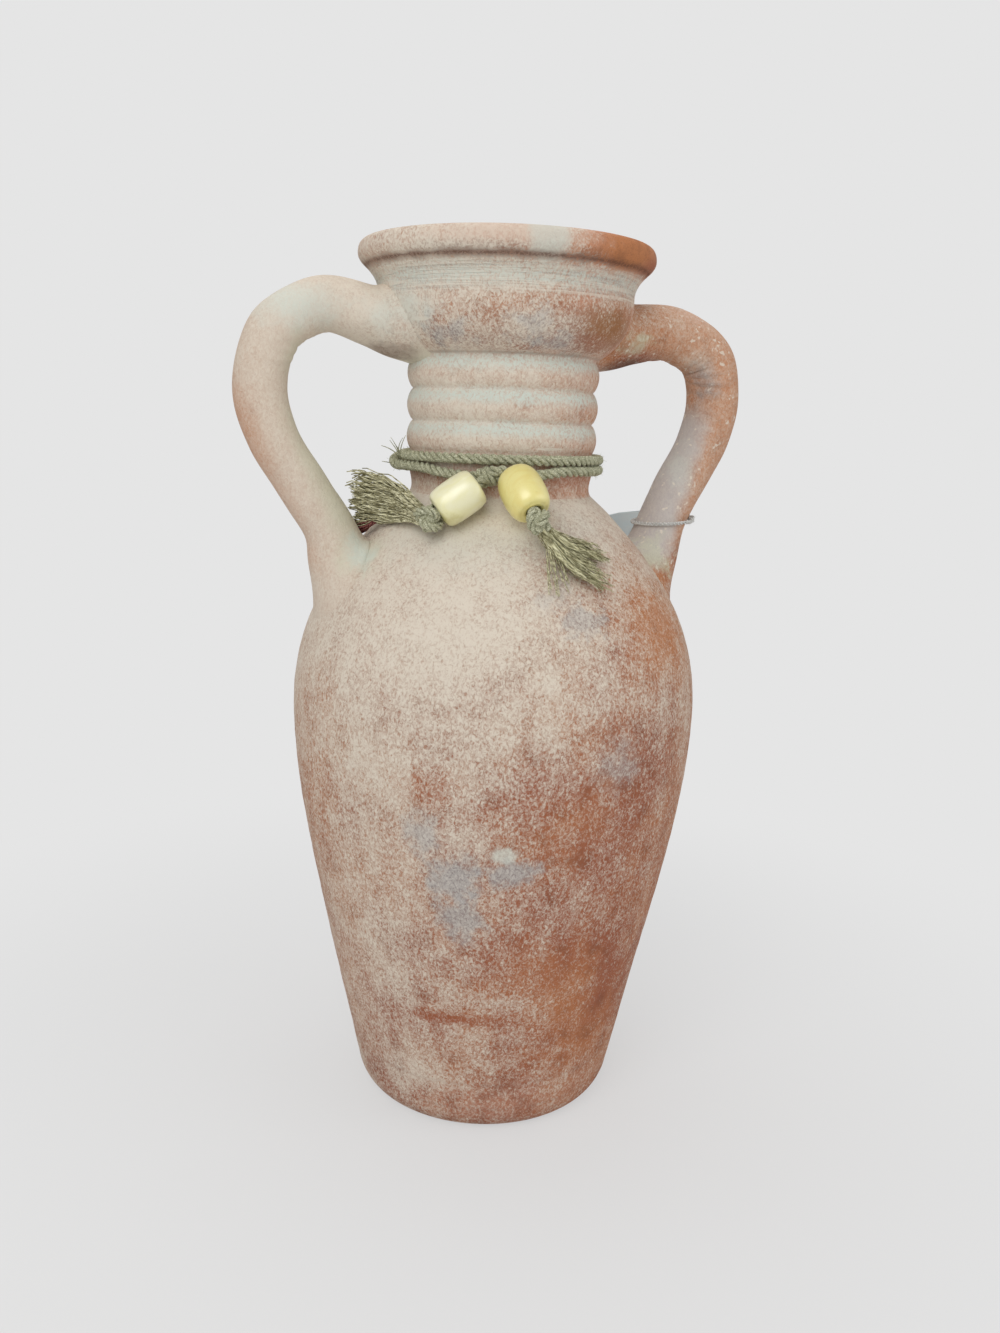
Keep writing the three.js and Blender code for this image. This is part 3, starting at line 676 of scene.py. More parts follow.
def clayMaterial(name, coat):
    material, n, shader = newMaterial(name)
    place = n.millimetres()
    axes = n.add("ShaderNodeSeparateXYZ", Vector=place).outputs
    uneven = n.use(clayUnevenness, Place=place)
    broad, medium, grit = uneven["Broad"], uneven["Medium"], uneven["Grit"]

    # the clay itself, with painted shade on the lip among the neck's tints
    colour = n.mix(n.span(broad, 0.35, 0.68, 0.0, 0.7), clayColour(coat["base"]), clayColour("orange"))
    for centre, size, tone, amount, edge in coat["tints"]:
        mask = n.times(patch(n, place, centre, size, edge, 0.2, 20.0), amount)
        colour = n.mix(mask, colour, clayColour(tone))
    colour = n.mix(n.span(medium, 0.5, 0.3, 0.0, 0.3), colour, clayColour("dark"))
    colour = n.mix(n.span(grit, 0.5, 0.3, 0.0, 0.35), colour, clayColour("dark"))

    # how much lime wash covers each place
    low, high, amount = coat["rise"]
    covered = n.span(axes["Z"], low, high, coat["cover"], coat["cover"] + amount)
    start, end, amount = coat["side"]
    covered = n.plus(covered, n.span(axes["X"], start, end, 0.0, amount))
    for texture, share in ((broad, 0.35), (medium, 0.75), (uneven["Runs"], 0.3)):
        covered = n.plus(covered, n.times(n.minus(texture, 0.5), share))
    for centre, size, amount, edge in coat["covers"]:
        covered = n.plus(covered, n.times(patch(n, place, centre, size, edge, 0.28, 14.0), amount))
    colour = n.mix(n.span(covered, 0.3, 1.0, 0.0, 0.7), colour, clayColour("haze"))

    # colours that run in the pores, and painted shade at the handle roots
    streaks = []
    for start, end, side, tone, amount, added, onTop in coat["streaks"]:
        mask = streakMask(n, place, medium, start, end, side)
        covered = n.plus(covered, n.times(mask, added))
        colour = n.mix(n.times(mask, amount), colour, clayColour(tone))
        streaks.append((n.times(mask, onTop * amount), tone))
    washesAndShade = []
    for centre, size, tone, amount, edge, ragged in coat["washesAndShade"]:
        washesAndShade.append((n.times(patch(n, place, centre, size, edge, ragged, 8.0), amount), tone))
        colour = n.mix(washesAndShade[-1][0], colour, clayColour(clay["under"].get(tone, tone)))

    # flecks of wash, softer down the handles
    softness = coat["softness"]
    if coat["streaks"]:
        fromAxis = n.vectorMath("LENGTH", n.vectorMath("MULTIPLY", place, (1.0, 1.0, 0.0)))
        softness = n.span(fromAxis, 60.0, 84.0, neckCoat["softness"], softness)
    if "crisp" in coat:
        low, high, crisp = coat["crisp"]
        softness = n.span(axes["Z"], low, high, softness, crisp)
    speckle = n.use(fleckGroup, Place=place, Cover=covered, Fleck_Size=clay["fleckSize"], Softness=softness)
    colour = n.mix(n.times(speckle["Mask"], 0.92), colour, clayColour("cream"))
    for mask, tone in streaks:
        colour = n.mix(mask, colour, clayColour(tone))
    if "dots" in coat:
        dots = n.span(n.noise(place, 2.6, detail=1.0), 0.66, 0.72, 0.0, coat["dots"])
        colour = n.mix(dots, colour, clayColour("cream"))

    # colours that lie over the flecks, painted shade at the handle roots among them
    worn = n.span(speckle["Height"], 0.1, 0.75, 0.4, 1.0)
    for mask, tone in washesAndShade:
        colour = n.mix(n.times(n.times(mask, worn), clay["over"][tone]), colour, clayColour(tone))
    for level, reach, tone, amount in coat["bands"]:
        offset = n.math("ABSOLUTE", n.minus(axes["Z"], level))
        offset = n.plus(offset, n.times(n.minus(medium, 0.5), reach * 1.1))
        mask = n.times(n.span(offset, reach, 0.0), n.span(broad, 0.3, 0.5, 0.6, 1.0))
        colour = n.mix(n.times(n.times(mask, worn), amount), colour, clayColour(tone))

    height = n.plus(n.times(speckle["Mask"], 0.6), n.times(grit, 0.5))
    height = n.plus(height, n.times(medium, 0.8))
    if "lines" in coat:
        low, high = coat["lines"]
        flat = n.vectorMath("MULTIPLY", place, (0.03, 0.03, 1.0))
        turned = n.noise(flat, 1.1, detail=2.0, roughness=0.7)
        within = n.times(n.span(axes["Z"], low - 1.5, low + 3), n.span(axes["Z"], high, high - 1.5))
        streak = n.times(within, n.span(turned, 0.42, 0.6))
        fading = n.span(axes["Z"], high - 4, low, 0.3, 0.75)
        colour = n.mix(n.times(streak, fading), colour, clayColour("cream"))
        gaps = n.times(within, n.span(turned, 0.48, 0.34, 0.0, 0.35))
        colour = n.mix(n.times(gaps, n.span(grit, 0.7, 0.4)), colour, clayColour("ash"))
        height = n.plus(height, n.times(streak, 0.7))

    matt = n.span(speckle["Mask"], 0.0, 1.0, clay["roughness"] - 0.06, clay["roughness"] + 0.08)
    n.set(shader.inputs["Base Color"], colour)
    n.set(shader.inputs["Roughness"], matt)
    n.set(shader.inputs["Normal"], n.bump(height, 0.7, 0.0004))
    shader.inputs["Specular IOR Level"].default_value = 0.2
    return material


bodyClay = clayMaterial("limewashedBody", bodyCoat)
neckClay = clayMaterial("limewashedNeck", neckCoat)
leftHandleClay = clayMaterial("limewashedLeftHandle", leftHandleCoat)
rightHandleClay = clayMaterial("limewashedRightHandle", rightHandleCoat)


# the pot

turning = {  # relief that the wheel and the hands leave
    "bodyLumps": (62.0, 0.45), "neckLumps": (34.0, 0.28),  # size and depth
    "throwing": (5.5, 0.16),  # height and depth of the throwing marks
    "rings": (13.5, 19.0, 27.0), "ringWidth": 0.7, "ringDepth": 0.12,
    "lipLines": 4.2, "lipDepth": 0.07, "pinch": 1.4,
}


def unevenness(angle, r, z, size, seed):
    places = np.stack([r * np.cos(angle), r * np.sin(angle), z], axis=2).reshape(-1, 3)
    return grain(places, size, seed).reshape(r.shape)


def bodyRelief(angle, r, z):
    (size, depth), (pitch, throwingDepth) = turning["bodyLumps"], turning["throwing"]
    places = [(float(h) / pitch, 2.0, float(a) * 0.5) for h, a in zip(z.ravel(), angle.ravel())]
    throwing = np.array([noise.noise(Vector(place)) for place in places]).reshape(r.shape)
    rings = sum(np.exp(-((z - level) / turning["ringWidth"]) ** 2) for level in turning["rings"])
    relief = depth * unevenness(angle, r, z, size, 1) + throwingDepth * throwing
    relief = relief - turning["ringDepth"] * rings
    return ease(z, 1.0, 8.0) * (1 - ease(z, 272.0, 278.0)) * relief - pinch(z)


def pinch(z):  # the collar narrows towards the seam with the body
    return turning["pinch"] * ease(z, 272.0, 281.0) * (1 - ease(z, 281.0, 290.0))


def neckRelief(angle, r, z):
    size, depth = turning["neckLumps"]
    uneven = unevenness(angle, r, z, size, 2)
    fine = turning["lipDepth"] * np.sin(z * turning["lipLines"] + 0.8 * uneven)
    fine = fine * ease(z, 362.0, 366.0) * (1 - ease(z, 371.0, 374.0))
    degrees = np.degrees(np.where(angle > math.pi, angle - 2 * math.pi, angle))
    cuts = sum(cut(degrees, z, *scored) for scored in neckCuts)
    onWall = ease(z, 286.0, 290.0) * (1 - ease(z, 381.0, 384.0))
    outer = np.where(r > pot["neckRadius"] - pot["wall"] / 2, 1.0, 0.0)
    return onWall * (depth * uneven + fine - cuts) - outer * pinch(z)


# marks on the neck: from and to as degrees round and height, width, depth
neckCuts = [
    ((-130.3, 335.2), (-140.0, 327.2), 1.0, 1.0),  # nick under the bowl
    ((-92.0, 301.6), (-80.0, 299.6), 0.7, 0.3),  # scratch with a bend, over the twine
    ((-80.0, 299.6), (-69.0, 300.2), 0.7, 0.3),
    ((-158.0, 351.0), (-144.0, 349.6), 0.9, -0.25),  # ridge of a tool on the bowl
]


def cut(degrees, z, start, end, width, depth):  # a scored line between two places
    across = (degrees - start[0]) * 0.7
    along = np.array([(end[0] - start[0]) * 0.7, end[1] - start[1]])
    reach = float(np.dot(along, along))
    t = np.clip((across * along[0] + (z - start[1]) * along[1]) / reach, 0, 1)
    away = np.hypot(across - t * along[0], z - start[1] - t * along[1])
    return depth * np.exp(-(away / width) ** 2)


inside = [(r - pot["wall"], z) for r, z in bodySide if z > pot["floor"]]
floorLine = [(pot["footEdge"][0] - pot["wall"], pot["floor"]), (0, pot["floor"])]
bodyLine = [(0, 0), (pot["footRadius"] / 2, 0), *bodySide, *reversed(inside), *floorLine]
bodyShape = turnedShape(bodyLine, pot["segments"], bodyRelief)
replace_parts(bodyShape.piece("potBody", bodyClay, slot="terracotta"), "body")
neckShape = turnedShape([*neckSide, *boreOutline()[:-1]], pot["segments"], neckRelief)
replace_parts(neckShape.piece("potNeckAndMouth", neckClay, slot="pale_terracotta"), "neck_and_mouth")
print("pot turned")


# handles

handles = {  # line: out from the bowl and up from its top. wrinkles: share of the length from and to, depth
    "handle_left": {
        "side": -1, "radius": 11.1, "ankleRadius": 10.4,
        "line": [(5, -8), (24, -4.5), (43.3, -15), (50.3, -37), (45.8, -57.5), (30.6, -82), (21.7, -97),
                 (19.4, -109)],
        "wrinkles": (0.2, 0.36, 0.9), "lump": 0.0, "material": leftHandleClay,
    },
    "handle_right": {
        "side": 1, "radius": 12.0, "ankleRadius": 11.2,
        "line": [(6, -9), (24, -7.5), (44, -17), (49.4, -34), (45.2, -56), (31.6, -81), (26.6, -92.5),
                 (21.8, -111)],
        "wrinkles": (0.16, 0.4, 1.9), "lump": 1.6, "material": rightHandleClay,
    },
}
handleForm = {
    "rings": 200, "sides": 60, "runIn": 12.0,  # length that the route starts inside the bowl
    "rootSink": 9.0, "rootDrop": 11.5, "rootSpread": 7.5, "rootRise": 2.0, "rootFade": 0.1,
    "footSpread": 3.0, "footSwell": 0.4, "footFade": 0.12, "footSink": 13.0, "footSeat": 53.0,
    # at the bowl and on the shoulder: how deep the end goes in, and how far and how much it spreads
    "buried": (2.0, 4.0), "filletReach": (2.4, 5.0), "filletSize": (1.8, 9.0),
    "creaseSide": math.radians(225),  # towards the inside of the bend and the front
    "lumpPlace": (60, -16, 348), "lumpReach": 6.0,
    "lumpSize": 17.0, "lumpDepth": 0.55, "creasePitch": 58,
}


def handleLine(handle):
    foot = pot["bodyHeight"] - handleForm["footSeat"]
    stations = [(pot["bowlRadius"] + out, pot["bowlTop"] + rise) for out, rise in handle["line"]]
    ends = [(pot["bowlRadius"] - handleForm["rootSink"], pot["bowlTop"] - handleForm["rootDrop"])]
    last = (float(potRadius(foot)) - handleForm["footSink"], foot)
    return [vec(handle["side"] * x, 0, z) for x, z in (*ends, *stations, last)]


def handlePiece(name, handle):
    form = handleForm
    side = handle["side"]
    route = handleLine(handle)
    route = [route[0] - unit(route[1] - route[0]) * form["runIn"], *route]
    line = spaced(smoothLine(route), form["rings"])
    length = lineLength(line) - form["runIn"]
    forward = vec(0, 1, 0)
    outer = np.cross(headings(line), forward) * side  # away from the middle of the handle's loop

    # a thick roll, wider where it is pressed onto the pot
    u = np.clip((np.linspace(0, lineLength(line), form["rings"]) - form["runIn"]) / length, 0, 1)
    radius = handle["radius"] + (handle["ankleRadius"] - handle["radius"]) * ease(u, 0.35, 0.75)
    root = np.exp(-(u / form["rootFade"]) ** 2)
    foot = np.exp(-((1 - u) / form["footFade"]) ** 2)
    wide = radius + form["rootSpread"] * root + form["footSpread"] * foot
    deep = radius + form["rootRise"] * root + form["footSwell"] * foot
    angles = around(form["sides"])
    ring = (wide[:, None] * np.cos(angles))[..., None] * forward
    ring = ring + (deep[:, None] * np.sin(angles))[..., None] * outer[:, None, :]
    grid = line[:, None, :] + ring
    outward = ring / np.linalg.norm(ring, axis=2)[..., None]

    # lumps, and creases inside the bend
    lumps = grain(grid.reshape(-1, 3), form["lumpSize"], 3 + side).reshape(grid.shape[:2]) * form["lumpDepth"]
    start, end, depth = handle["wrinkles"]
    bend = ease(u, start - 0.06, start) * (1 - ease(u, end, end + 0.08))
    inner = np.clip(np.cos(angles - form["creaseSide"]), 0, 1) ** 2
    pitch = form["creasePitch"]
    places = [(float(s) * pitch + 1.6 * math.cos(a), 0.5 * math.sin(a), 5.0) for s in u for a in angles]
    creases = np.array([noise.noise(Vector(place)) for place in places]).reshape(grid.shape[:2])
    lumps += depth * bend[:, None] * inner[None, :] * creases
    away = np.linalg.norm(grid - form["lumpPlace"], axis=2)
    lumps += handle["lump"] * np.exp(-(away / form["lumpReach"]) ** 2)
    grid = grid + lumps[..., None] * outward

    # no end goes through the wall, and both spread along it
    away = potDistance(grid.reshape(-1, 3)).reshape(grid.shape[:2])
    radial, rise = potSlope(grid[..., 2])
    flat = grid[..., :2] / np.maximum(np.hypot(grid[..., 0], grid[..., 1]), 1e-6)[..., None]
    skin = np.concatenate([flat * radial[..., None], rise[..., None]], axis=2)
    upper = grid[..., 2] > pot["bodyHeight"]
    grid = grid + np.clip(-np.where(upper, *form["buried"]) - away, 0, None)[..., None] * skin
    along = outward - (outward * skin).sum(2)[..., None] * skin
    underside = np.where(upper, np.clip(-outward[..., 2], 0, 1), 0)
    spread = np.exp(-np.clip(away, 0, None) / np.where(upper, *form["filletReach"]))
    spread *= np.where(upper, *form["filletSize"]) * (1 - underside)
    grid = grid + spread[..., None] * along

    ends = []
    for ring, depth in zip((grid[0], grid[-1]), form["buried"]):  # each end closes along the wall
        middle = ring.mean(0)
        ends.append([liftOff(middle + (ring - middle) * share, -depth) for share in (0.75, 0.5, 0.25, 0.05)])
    shape = Shape()
    shape.rings([*reversed(ends[0]), *grid, *ends[1]])
    thing = shape.piece(name, handle["material"], slot="pale_terracotta")
    thing.data.flip_normals()  # the rings run clockwise
    return thing


for node, handle in handles.items():
    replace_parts(handlePiece(node.replace("handle_", "pulledHandle_"), handle), node)
print("handles pulled")


# twine

tie = {
    "azimuth": -116.7, "diameter": 3.8, "lower": 10.2, "pitch": 4.4, "turnSteps": 24, "gap": 0.3,
    "crossing": (75.0, 34.0), "humpRun": 25.0, "humpGap": 1.0,
    "knotUp": 7.6, "knotLength": 7.6, "knotRadius": 3.9, "knotLift": 0.8,
    "lay": 10.5,  # length in which a strand goes once round
    "fuzz": 900, "fuzzLength": 3.6,
}


def aroundTie(turn, radius, z):  # a place round the pot, in degrees from the front knot
    angle = math.radians(tie["azimuth"] + turn)
    return vec(radius * math.cos(angle), radius * math.sin(angle), z)


def byNeck(turn, out, rise):
    return aroundTie(turn, pot["neckRadius"] + out, pot["bodyHeight"] + rise)


def onShoulder(turn, drop, lift):
    z = pot["bodyHeight"] - drop
    radial, rise = potSlope(z)
    return aroundTie(turn, float(potRadius(z)) + lift * radial, z + lift * rise)


def twineMaterial(name, dark, olive, light, along=None):  # its streaks run along a given direction
    material, n, shader = newMaterial(name)
    place = n.millimetres()
    if along is None:
        squeezed = n.vectorMath("MULTIPLY", place, (1.0, 1.0, 1.6))
        size, detail = 0.55, 3.0
    else:
        direction = tuple(map(float, along))
        back = n.times(n.vectorMath("DOT_PRODUCT", place, direction), -0.9)
        squeezed = n.vectorMath("ADD", place, n.vectorMath("SCALE", direction, scale=back))
        size, detail = 0.9, 2.0
    fibre = n.use(spunFibre, Place=place, Squeezed_Place=squeezed, Fibre_Size=size, Detail=detail)
    colour = n.mix(fibre["Middle"], srgb(*dark), srgb(*olive))
    colour = n.mix(fibre["Light"], colour, srgb(*light))
    colour = n.mix(fibre["Dark"], colour, srgb(*dark))
    n.set(shader.inputs["Base Color"], colour)
    n.set(shader.inputs["Normal"], n.bump(fibre["Height"], 0.6, 0.0002))
    shader.inputs["Roughness"].default_value = 0.95
    shader.inputs["Specular IOR Level"].default_value = 0.15
    return material


fibres = {
    "jute": twineMaterial("juteTwine", (132, 132, 104), (208, 208, 180), (248, 248, 230)),
    "leftFray": twineMaterial("leftFrayedJute", (128, 122, 90), (232, 228, 192), (255, 252, 230),
                              unit(onShoulder(-68, 15.7, 15.6) - onShoulder(-47, 10, 6.8))),
    "rightFray": twineMaterial("rightFrayedJute", (128, 122, 90), (228, 224, 184), (255, 252, 228),
                               unit(onShoulder(45, 32, 4) - onShoulder(26, 20, 7))),
    "red": twineMaterial("redFibre", (112, 60, 60), (160, 104, 98), (206, 156, 146)),
    "string": twineMaterial("spunString", (178, 178, 174), (232, 232, 228), (250, 250, 246)),
}
# shares of the diameter: rope over its nominal size, a strand, the points' spacing; then how uneven it is
ropeForm = {"full": 1.18, "strand": 0.45, "spacing": 0.17, "uneven": 0.16, "unevenSize": 1.3}
ropeFirst = unit(vec(0.3, 0.2, 1))
fuzzRadii = [0.085, 0.075, 0.06, 0.03]


def randomVec(rng, *spans):  # spans: one reach either way, or a lowest and a highest value
    ranges = [span if isinstance(span, tuple) else (-span, span) for span in spans]
    return vec(*(rng.uniform(low, high) for low, high in ranges))


def bentStrand(start, heading, bend, length, steps):
    return [start + heading * length * t + bend * length * t * t for t in steps]


def layRope(shape, line, diameter, lay, strands=3, seed=1):
    line = spaced(line, max(int(lineLength(line) / (diameter * ropeForm["spacing"])), 8))
    tangents, normals, across = frames(line, ropeFirst)
    full = diameter / 2 * ropeForm["full"]
    strandRadius = full * ropeForm["strand"]
    offset = full - strandRadius
    run = np.linspace(0, lineLength(line), len(line))
    for k in range(strands):
        phase = 2 * math.pi * (k / strands + run / lay)
        centre = line + offset * (np.cos(phase)[:, None] * normals + np.sin(phase)[:, None] * across)
        uneven = 1 + ropeForm["uneven"] * grain(centre, ropeForm["unevenSize"], seed + k)
        shape.tube(centre, strandRadius * uneven, 8)


def addFuzz(shape, line, radius, count, longest, seed):
    rng = random.Random(seed)
    line = spaced(line, 400)
    tangents, normals, across = frames(line, ropeFirst)
    for _ in range(count):
        i = rng.randrange(len(line))
        angle = rng.uniform(0, 2 * math.pi)
        outward = math.cos(angle) * normals[i] + math.sin(angle) * across[i]
        start = line[i] + outward * radius * 0.75
        heading = outward * rng.uniform(0.3, 1.0)
        heading = unit(heading + tangents[i] * rng.choice((-1, 1)) * rng.uniform(0.4, 1.2))
        curl = randomVec(rng, 1, 1, (-1, 0.6)) * 0.25
        length = longest * rng.uniform(0.25, 1.0) ** 1.5
        points = bentStrand(start, heading, curl, length, (0, 0.33, 0.66, 1.0))
        shape.tube(liftOff(points, 0.05), fuzzRadii, 3)


def twineLine():
    step = 360 / tie["turnSteps"]
    rope, neck = tie["diameter"], pot["neckRadius"]
    ride = (tie["gap"] * 2 + rope / 2 + neck) / math.cos(math.pi / tie["turnSteps"]) - neck
    faces = []
    for side in (-1, 1):
        face = knotCentre + knotAcross * side * (tie["knotLength"] / 2 - 1.2)
        faces.append((face, face + knotAcross * side * (rope + 1.5)))
    start, length = tie["crossing"]
    run = tie["humpRun"]
    middle = []
    for i in range(1, 2 * tie["turnSteps"]):
        travelled = i * step
        turn = travelled % 360
        crossed = float(ease(turn, start, start + length))
        hump = 0
        if travelled < 360:  # the first turn goes over the second
            hump = math.sin(math.pi * float(ease(turn, start - run, start + length + run)))
        else:
            crossed = 1 - crossed
        near = 1 - float(ease(min(travelled, 720 - travelled), step, 3 * step))
        rise = tie["lower"] + tie["pitch"] * crossed + near * (tie["knotUp"] - tie["lower"])
        out = ride + (rope + tie["humpGap"]) * hump + near * tie["knotLift"]
        middle.append(byNeck(-travelled, out, rise))
    return [faces[0][0], faces[0][1], *middle[1:-1], faces[1][1], faces[1][0]]


knotCentre = byNeck(0, tie["knotRadius"] + tie["gap"], tie["knotUp"])
knotAcross = byNeck(90, 1, 0) - byNeck(90, 0, 0)

twine = Shape()
twineRoute = smoothLine(twineLine(), 8)
layRope(twine, twineRoute, tie["diameter"], tie["lay"])
addFuzz(twine, twineRoute, tie["diameter"] / 2, tie["fuzz"], tie["fuzzLength"], 11)
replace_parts(twine.piece("neckTwine", fibres["jute"], slot="jute"), "neck_twine")

# loose fibres that stick out where the two turns cross: degrees round, out, up, direction, length
strayRoots = [
    (-74, 4.6, 13.5, (-0.55, -0.1, 0.9), 8.5),
    (-70, 4.6, 14.0, (-0.1, -0.2, 1.0), 6.0),
    (-76, 4.2, 9.6, (-1.0, -0.1, 0.0), 9.0),
]
stray = Shape()
rng = random.Random(5)
for turn, out, rise, direction, length in strayRoots:
    for _ in range(3):
        start = byNeck(turn + rng.uniform(-2, 2), out, rise + rng.uniform(-0.8, 0.8))
        heading = unit(vec(*direction) + randomVec(rng, 0.3, 0.3, 0.3))
        bend = randomVec(rng, 0.9, 0.5, 0.6) * 0.6
        points = bentStrand(start, heading, bend, length, np.linspace(0, 1, 7))
        stray.tube(points, np.linspace(0.34, 0.12, 7), 4)
stray.piece("strayFibres", fibres["jute"], slot="jute")
print("twine laid", round(lineLength(twineRoute)), "mm")


# knots

def knotShape(centre, axis, halfLength, radius, strand, seed, turn=0.0):
    side = unit(np.cross(axis, up if abs(axis[2]) < 0.9 else vec(1, 0, 0)))
    other = np.cross(axis, side)
    t = np.linspace(0, 2 * math.pi, 121) + turn
    spread = (radius - strand / 2) / 3
    x = spread * (2 + np.cos(3 * t)) * np.cos(2 * t)
    y = spread * (2 + np.cos(3 * t)) * np.sin(2 * t)
    z = (halfLength - strand / 2) * np.sin(3 * t)
    line = centre + x[:, None] * side + y[:, None] * other + z[:, None] * axis
    shape = Shape()
    layRope(shape, line, strand, strand * 2.8, seed=seed)
    core = centre + np.linspace(-0.8, 0.8, 9)[:, None] * halfLength * axis
    shape.tube(core, radius * 0.62 * np.sin(np.linspace(0.5, math.pi - 0.5, 9)), 12)
    addFuzz(shape, line, strand / 2, 70, 2.6, seed + 40)
    return shape


frontKnot = knotShape(knotCentre, unit(knotAcross), 4.6, 4.6, 3.5, 21, 0.5)
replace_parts(frontKnot.piece("frontKnot", fibres["jute"], slot="jute"), "front_knot")


# beads, tails and tassels

beads = {
    "left": {
        "length": 19.5, "diameter": 17.3, "face": 10.5, "facets": 0.05, "round": 0.46,
        "start": byNeck(-3.2, 11.6, 4.7), "end": onShoulder(-16.8, 12.4, 9.5), "rise": [],
        "knotLength": 8.0, "knotRadius": 6.0, "knotSeed": 31, "slot": "cream_wood", "material": "creamWood",
        "wood": (244, 240, 200), "streak": (234, 228, 150), "stain": (196, 186, 104),
        "stainPlace": (-40, -46, 271), "stainSize": (11, 10, 6),
    },
    "right": {
        "length": 21.0, "diameter": 18.3, "face": 9.5, "facets": 0.1, "round": 0.26,
        "start": byNeck(13, 8.7, 9), "end": onShoulder(18.9, 13.6, 13.7), "rise": [byNeck(5.5, 8.9, 11.6)],
        "knotLength": 8.5, "knotRadius": 4.9, "knotSeed": 37, "slot": "yellow_wood", "material": "yellowWood",
        "wood": (240, 228, 146), "streak": (230, 206, 104), "stain": (134, 132, 78),
        "stainPlace": (-6, -67, 275), "stainSize": (8, 7, 6.5),
    },
}
threading = {"bore": 6.2, "faceClearance": 0.5, "knotOver": 0.6, "knotProud": 0.4, "knotStrand": 3.1}


def woodMaterial(bead):
    material, n, shader = newMaterial(bead["material"])
    place = n.millimetres()
    grain = n.use(woodGrain, Place=place)
    stain = srgb(*bead["stain"])
    colour = n.mix(grain["Streak"], srgb(*bead["wood"]), srgb(*bead["streak"]))
    colour = n.mix(grain["Pore"], colour, stain)
    mask = patch(n, place, bead["stainPlace"], bead["stainSize"], 0.8, 0.25, 4.0)
    colour = n.mix(n.times(mask, 0.75), colour, stain)
    n.set(shader.inputs["Base Color"], colour)
    n.set(shader.inputs["Roughness"], n.span(grain["Rings"], 0.3, 0.7, 0.3, 0.42))
    n.set(shader.inputs["Normal"], n.bump(grain["Height"], 0.15, 0.0001))
    shader.inputs["Coat Weight"].default_value = 1.0
    shader.inputs["Coat Roughness"].default_value = 0.34
    shader.inputs["Coat IOR"].default_value = 1.6
    return material


def beadShape(bead, axis):
    half = bead["diameter"] / 2
    length, full, bore, face = bead["length"], bead["round"], threading["bore"] / 2, bead["face"] / 2
    line = [(bore, 0.35), (bore + 0.35, 0.0), (face - 0.6, 0.0)]
    line += bezier((face - 0.6, 0), (face, 0), (face + 0.25, 0.25), steps=3)
    line += bezier(line[-1], (half, 0), (half, length * (1 - full) / 2), (half, length / 2), steps=18)
    line += bezier((half, length / 2), (half, length * (1 + full) / 2), (half, length),
                   (face + 0.25, length - 0.25), steps=18)
    line += bezier((face + 0.25, length - 0.25), (face, length), (face - 0.6, length), steps=3)
    line += [(bore + 0.35, length), (bore, length - 0.35)]

    def relief(angle, r, z):
        onSide = ease(r, face, half)
        return -bead["facets"] * onSide * (0.5 - 0.5 * np.cos(6 * angle)) - 0.06 * onSide

    return placed(turnedShape(line, 72, relief), bead["start"], axis)


tails = {}
for side, bead in beads.items():
    start, axis, rope = bead["start"], unit(bead["end"] - bead["start"]), tie["diameter"]
    knotStart = start + axis * (bead["length"] + threading["faceClearance"])
    knotEnd = knotStart + axis * bead["knotLength"]
    middle = (knotStart + knotEnd) / 2
    beadPiece = beadShape(bead, axis).piece(
        "bead_" + side + "_wood", woodMaterial(bead), body=side + "_bead", slot=bead["slot"])
    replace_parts(beadPiece, "bead_" + side)
    knotSize = (bead["knotLength"] / 2 + threading["knotOver"], bead["knotRadius"] + threading["knotProud"])
    endKnot = knotShape(middle, axis, *knotSize, threading["knotStrand"], bead["knotSeed"], 1.1)
    endKnotPiece = endKnot.piece("endKnot_" + side, fibres["jute"], slot="jute")
    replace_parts(endKnotPiece, "end_knot_" + side)
    tails[side] = {
        "root": knotStart * 0.4 + knotEnd * 0.6,  # where the tassel starts, inside the end knot
        "pieces": [beadPiece, endKnotPiece],
        "route": [knotCentre, *bead["rise"], start - axis * rope / 3, start + axis * rope / 2,
                  start + axis * (bead["length"] - rope), middle],
    }
print("beads threaded")

tassels = {
    "left": {
        "width": 20.5, "thickness": 7.0, "neck": 6.0, "count": 330, "locks": 30, "seed": 71, "curl": 2.4,
        "strand": 0.34, "bundle": 0.12, "shortest": 0.88, "material": fibres["leftFray"], "liesOnPot": False,
        "line": [onShoulder(-47, 10, 6.8), onShoulder(-68, 15.7, 15.6)],
    },
    "right": {
        "width": 25.0, "thickness": 5.0, "neck": 4.4, "count": 180, "locks": 26, "seed": 83, "curl": 3.6,
        "strand": 0.26, "bundle": 0.08, "shortest": 0.7, "material": fibres["rightFray"], "liesOnPot": True,
        "line": [onShoulder(26, 20, 7), onShoulder(35, 25, 4), onShoulder(47, 31.5, 3.9)],
    },
}
# how the strands lie: turns of a swing and of a coil along the tassel, and how far each reaches
strandForm = {
    "steps": 18, "swing": 0.12, "coilTurn": 26, "coilReach": 0.45, "wiggleTurn": 13, "wiggleReach": 0.3,
}
tailForm = {"longest": 34.0, "points": 60, "smoothing": 50, "kept": 40}


